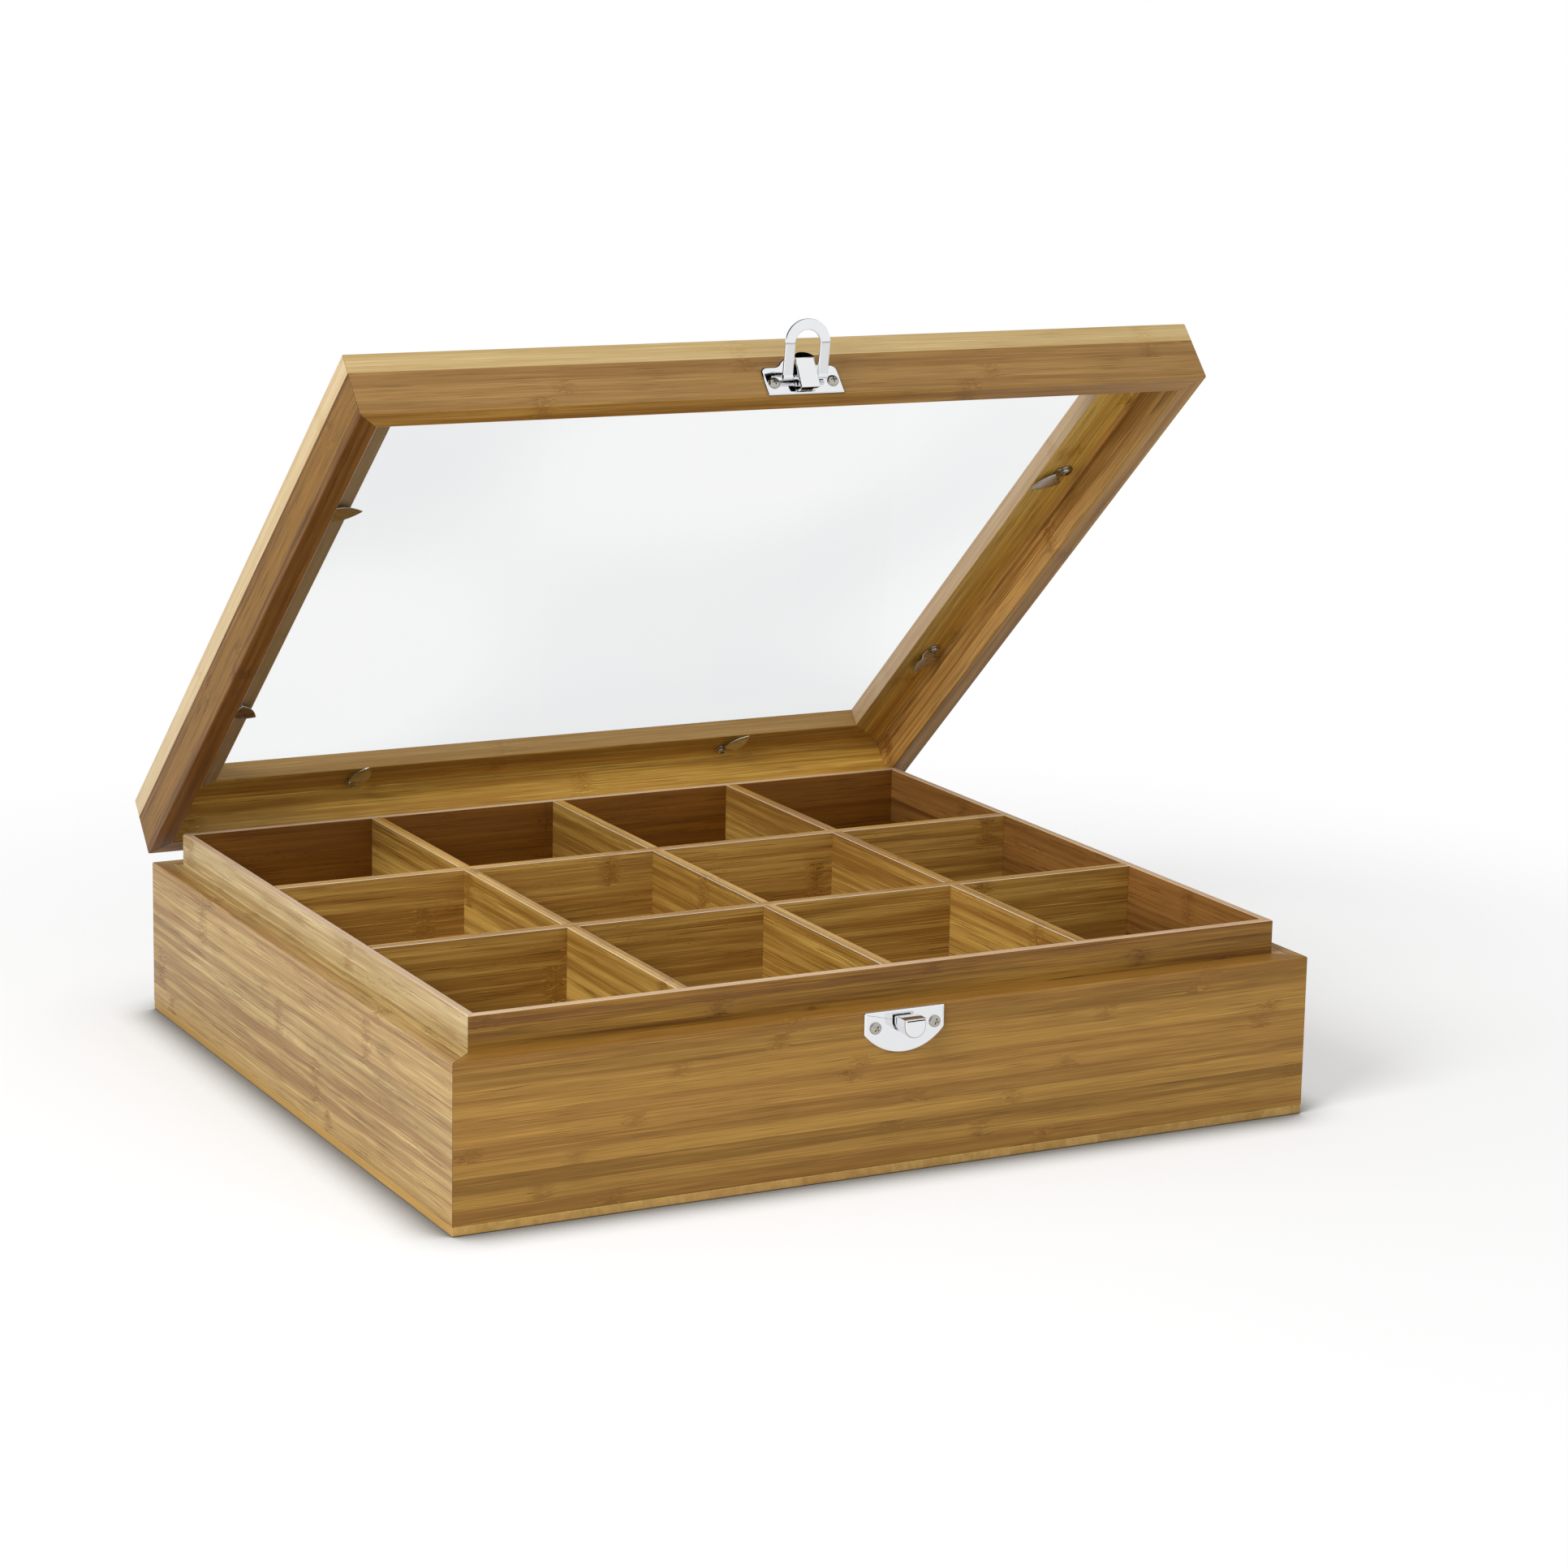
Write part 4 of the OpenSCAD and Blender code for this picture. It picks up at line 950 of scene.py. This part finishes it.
def clipPlace(side, end):
    alongRail, inward, sign = clipAt["fromCorner"], clipAt["inFromFace"], (-1, 1)[side % 2]
    height = box["wallTop"] + box["ledge"]
    if side < 2:
        return Vector((end * (halfWidth - alongRail), sign * (halfDepth - inward), height))
    return Vector((sign * (halfWidth - inward), end * (halfDepth - alongRail), height))


for name, (side, end, turn) in clipTurns.items():
    piece = grown("clip_blade_" + name, bpy.data.meshes.new("clipStart"), clipTree,
        {**metres(clip), "finish": metals["tumbledNickelPlate"]})
    inward = (90, 270, 0, 180)[side]
    toWorld = (openLid @ Matrix.Translation(clipPlace(side, end) * mm)
        @ turnBy(inward + turn) @ Matrix.Rotation(pi, 4, "X"))
    settle(piece, toWorld, "clip_" + name, "nickel_clip", "turn_clip_" + name)


def screwSet(node, toWorld, places, body, seed, facing=(0, 0, 1), longer=0):
    start = bpy.data.meshes.new(node + "Places")
    start.from_pydata([Vector(p) * mm for p in places], [], [])
    facings = start.attributes.new("facing", "FLOAT_VECTOR", "POINT")
    facings.data.foreach_set("vector", list(facing) * len(places))
    sizes = {**screw, "shankLength": screw["shankLength"] + longer}
    piece = grown("set_" + node, start, screwTree,
        {**metres(sizes), "seed": seed, "finish": metals["nickeledScrewSteel"]})
    settle(piece, toWorld, body, "steel_fastener", node)


plateX = [s * plateScrews["x"] for s in (-1, 1)]
leafX = [at + s * hinge["screwX"] for at in (-hinge["at"], hinge["at"]) for s in (-1, 1)]
for node, toWorld, across, height, plate, body, seed in (
        ("strike_screws", frontFace, plateX, plateScrews["strike"], strike, "box", 3),
        ("latch_screws", latchFace, plateX, plateScrews["latch"], latch, "lid", 5),
        ("hinge_base_screws", rearFace, leafX, hinge["baseScrew"], hinge, "box", 7),
        ("hinge_lid_screws", openLid @ rearFace, leafX, hinge["lidScrew"], hinge, "lid", 9)):
    screwSet(node, toWorld, [(x, height, plate["thick"]) for x in across], body, seed)
under = 1.5 * clip["play"] + clip["thick"]
clipScrews = [clipPlace(side, end) - Vector((0, 0, under)) for side, end, turn in clipTurns.values()]
screwSet("turn_clip_screws", openLid, clipScrews, "lid", 11, (0, 0, -1), under)
for name in ("hinge_left_pin", "hinge_right_pin", "latch_lever_pin"):
    pin = frame["nodes"][name]
    pin.data.materials.clear()
    pin.data.materials.append(metals["nickeledScrewSteel"])
print("clips and screws made")

# shade is the colour of the painted contact shadow on the paper, contact its reach in metres
studio = {"floorRadius": 3.0, "floorDrop": 0.0002, "paper": "F2F2F2", "shade": "4A4436", "fadeFrom": 0.25,
    "fadeTo": 0.6, "worldLight": 0.36, "glow": 0.3, "contact": 0.02}
# name: power in watts, size, place and aim in metres
softboxes = {"keySoftbox": (34, 0.9, (-1.5, -0.75, 1.2), (0, 0, 0.1)),
    "topSoftbox": (9, 1.4, (0.1, 0.1, 1.7), (0, 0, 0)),
    "fillSoftbox": (4, 1.2, (1.1, -1.6, 0.7), (0, 0, 0.1))}
# Dark cards that only mirrors see, so that chrome has something black to show
flags = {"flagBehind": [(-4, 2.4, 0.75), (4, 2.4, 0.75), (4, 2.4, 3.5), (-4, 2.4, 3.5)],
    "flagAbove": [(-4, 2.4, 3.5), (4, 2.4, 3.5), (4, -0.15, 3.5), (-4, -0.15, 3.5)],
    "flagLeft": [(-2.4, -1.2, 0.9), (-2.4, 2.4, 0.9), (-1.2, 2.4, 3.4), (-1.2, -1.2, 3.4)]}


def buildWorld():
    world = bpy.data.worlds.new("paleStudio")
    bpy.context.scene.world = world
    world.use_nodes = True
    world.node_tree.nodes.clear()
    t = shortForms(world.node_tree)
    rays = t.add("ShaderNodeLightPath", out=None).outputs
    seen = t.maths("MAXIMUM", rays["Is Camera Ray"], rays["Is Glossy Ray"])
    seen = t.maths("MAXIMUM", seen, rays["Is Transmission Ray"])
    level = t.ranged(seen, 0.0, 1.0, studio["worldLight"], 1.0)
    sky = t.add("ShaderNodeBackground", {"Color": linear("FFFFFF"), "Strength": level})
    t.add("ShaderNodeOutputWorld", {"Surface": sky})


def buildFloor():
    ring = bmesh.new()
    bmesh.ops.create_circle(ring, cap_ends=True, radius=studio["floorRadius"], segments=96)
    floor = linked("paleFloor", meshOf("paleFloor", ring))
    material, t = blankMaterial("whitePaperSweep")
    maths, times = t.maths, t.times
    rays = t.add("ShaderNodeLightPath", out=None).outputs
    straight = maths("MAXIMUM", rays["Is Camera Ray"], rays["Is Transmission Ray"])
    # painted contact shadow: ambient occlusion darkens the paper's colour to a warm olive near the box and dims
    # its glow there
    corner = t.add("ShaderNodeAmbientOcclusion", {"Distance": studio["contact"]}, "AO", samples=12)
    contact = t.ranged(corner, 0.5, 0.97, 0.1, 1.0)
    tone = t.blend(contact, linear(studio["shade"]), linear(studio["paper"]))
    glowShare = times(straight, times(contact, studio["glow"]))
    lit = t.add("ShaderNodeMixShader", {0: glowShare, 1: t.add("ShaderNodeBsdfDiffuse", {"Color": tone}),
        2: t.add("ShaderNodeEmission", {"Color": linear("FFFFFF"), "Strength": 1.0})})
    # seen straight, the paper fades into the white background
    away = t.vectors("LENGTH", t.add("ShaderNodeTexCoord", out="Object"), out="Value")
    fade = t.eased(away, studio["fadeFrom"], studio["fadeTo"], 0.0, 1.0)
    t.surface("ShaderNodeMixShader", {0: times(fade, straight), 1: lit,
        2: t.add("ShaderNodeBsdfTransparent")})
    floor.data.materials.append(material)
    floor.location.z = -studio["floorDrop"]


def buildLights():
    black, t = blankMaterial("blackFlagCloth")
    t.surface("ShaderNodeBsdfDiffuse", {"Color": linear("080808")})
    for name, corners in flags.items():
        mesh = bpy.data.meshes.new(name)
        mesh.from_pydata(corners, [], [(0, 1, 2, 3)])
        mesh.materials.append(black)
        card = linked(name, mesh)
        card.visible_camera = card.visible_diffuse = card.visible_shadow = card.visible_transmission = False
    for name, (power, size, place, aim) in softboxes.items():
        lamp = bpy.data.lights.new(name, "AREA")
        lamp.energy = power
        lamp.size = size
        holder = linked(name, lamp)
        holder.location = place
        holder.rotation_euler = (Vector(aim) - Vector(place)).to_track_quat("-Z", "Y").to_euler()
        holder.visible_glossy = False


# Found by fitting the picture's corners: angles in degrees, lengths in millimetres, pixels of 1932
view = {"azimuth": -27.663, "elevation": 11.088, "roll": 1.062, "aim": (225.77, 372.13, 60.0),
    "distance": 1940.2, "focalPixels": 4883.2, "centreRow": 850.0, "framePixels": 1932.0}


def buildCamera():
    a, e, r = (radians(view[k]) for k in ("azimuth", "elevation", "roll"))
    back = Vector((sin(a) * cos(e), -cos(a) * cos(e), sin(e)))
    right = (-back).cross(Vector((0, 0, 1))).normalized()
    up = right.cross(-back)
    level = cos(r) * right + sin(r) * up
    rise = cos(r) * up - sin(r) * right
    lens = bpy.data.cameras.new("studioLens")
    lens.sensor_width = 36.0
    lens.lens = view["focalPixels"] / view["framePixels"] * lens.sensor_width
    lens.shift_y = (view["centreRow"] - view["framePixels"] / 2) / view["framePixels"]
    holder = linked("studioCamera", lens)
    place = Vector(view["aim"]) * mm + back * view["distance"] * mm
    holder.matrix_world = Matrix.Translation(place) @ Matrix((level, rise, back)).transposed().to_4x4()
    bpy.context.scene.camera = holder


bpy.context.scene.view_settings.view_transform = "Standard"
buildWorld()
buildFloor()
buildLights()
buildCamera()
print("studio and camera set")

bpy.context.view_layer.update()
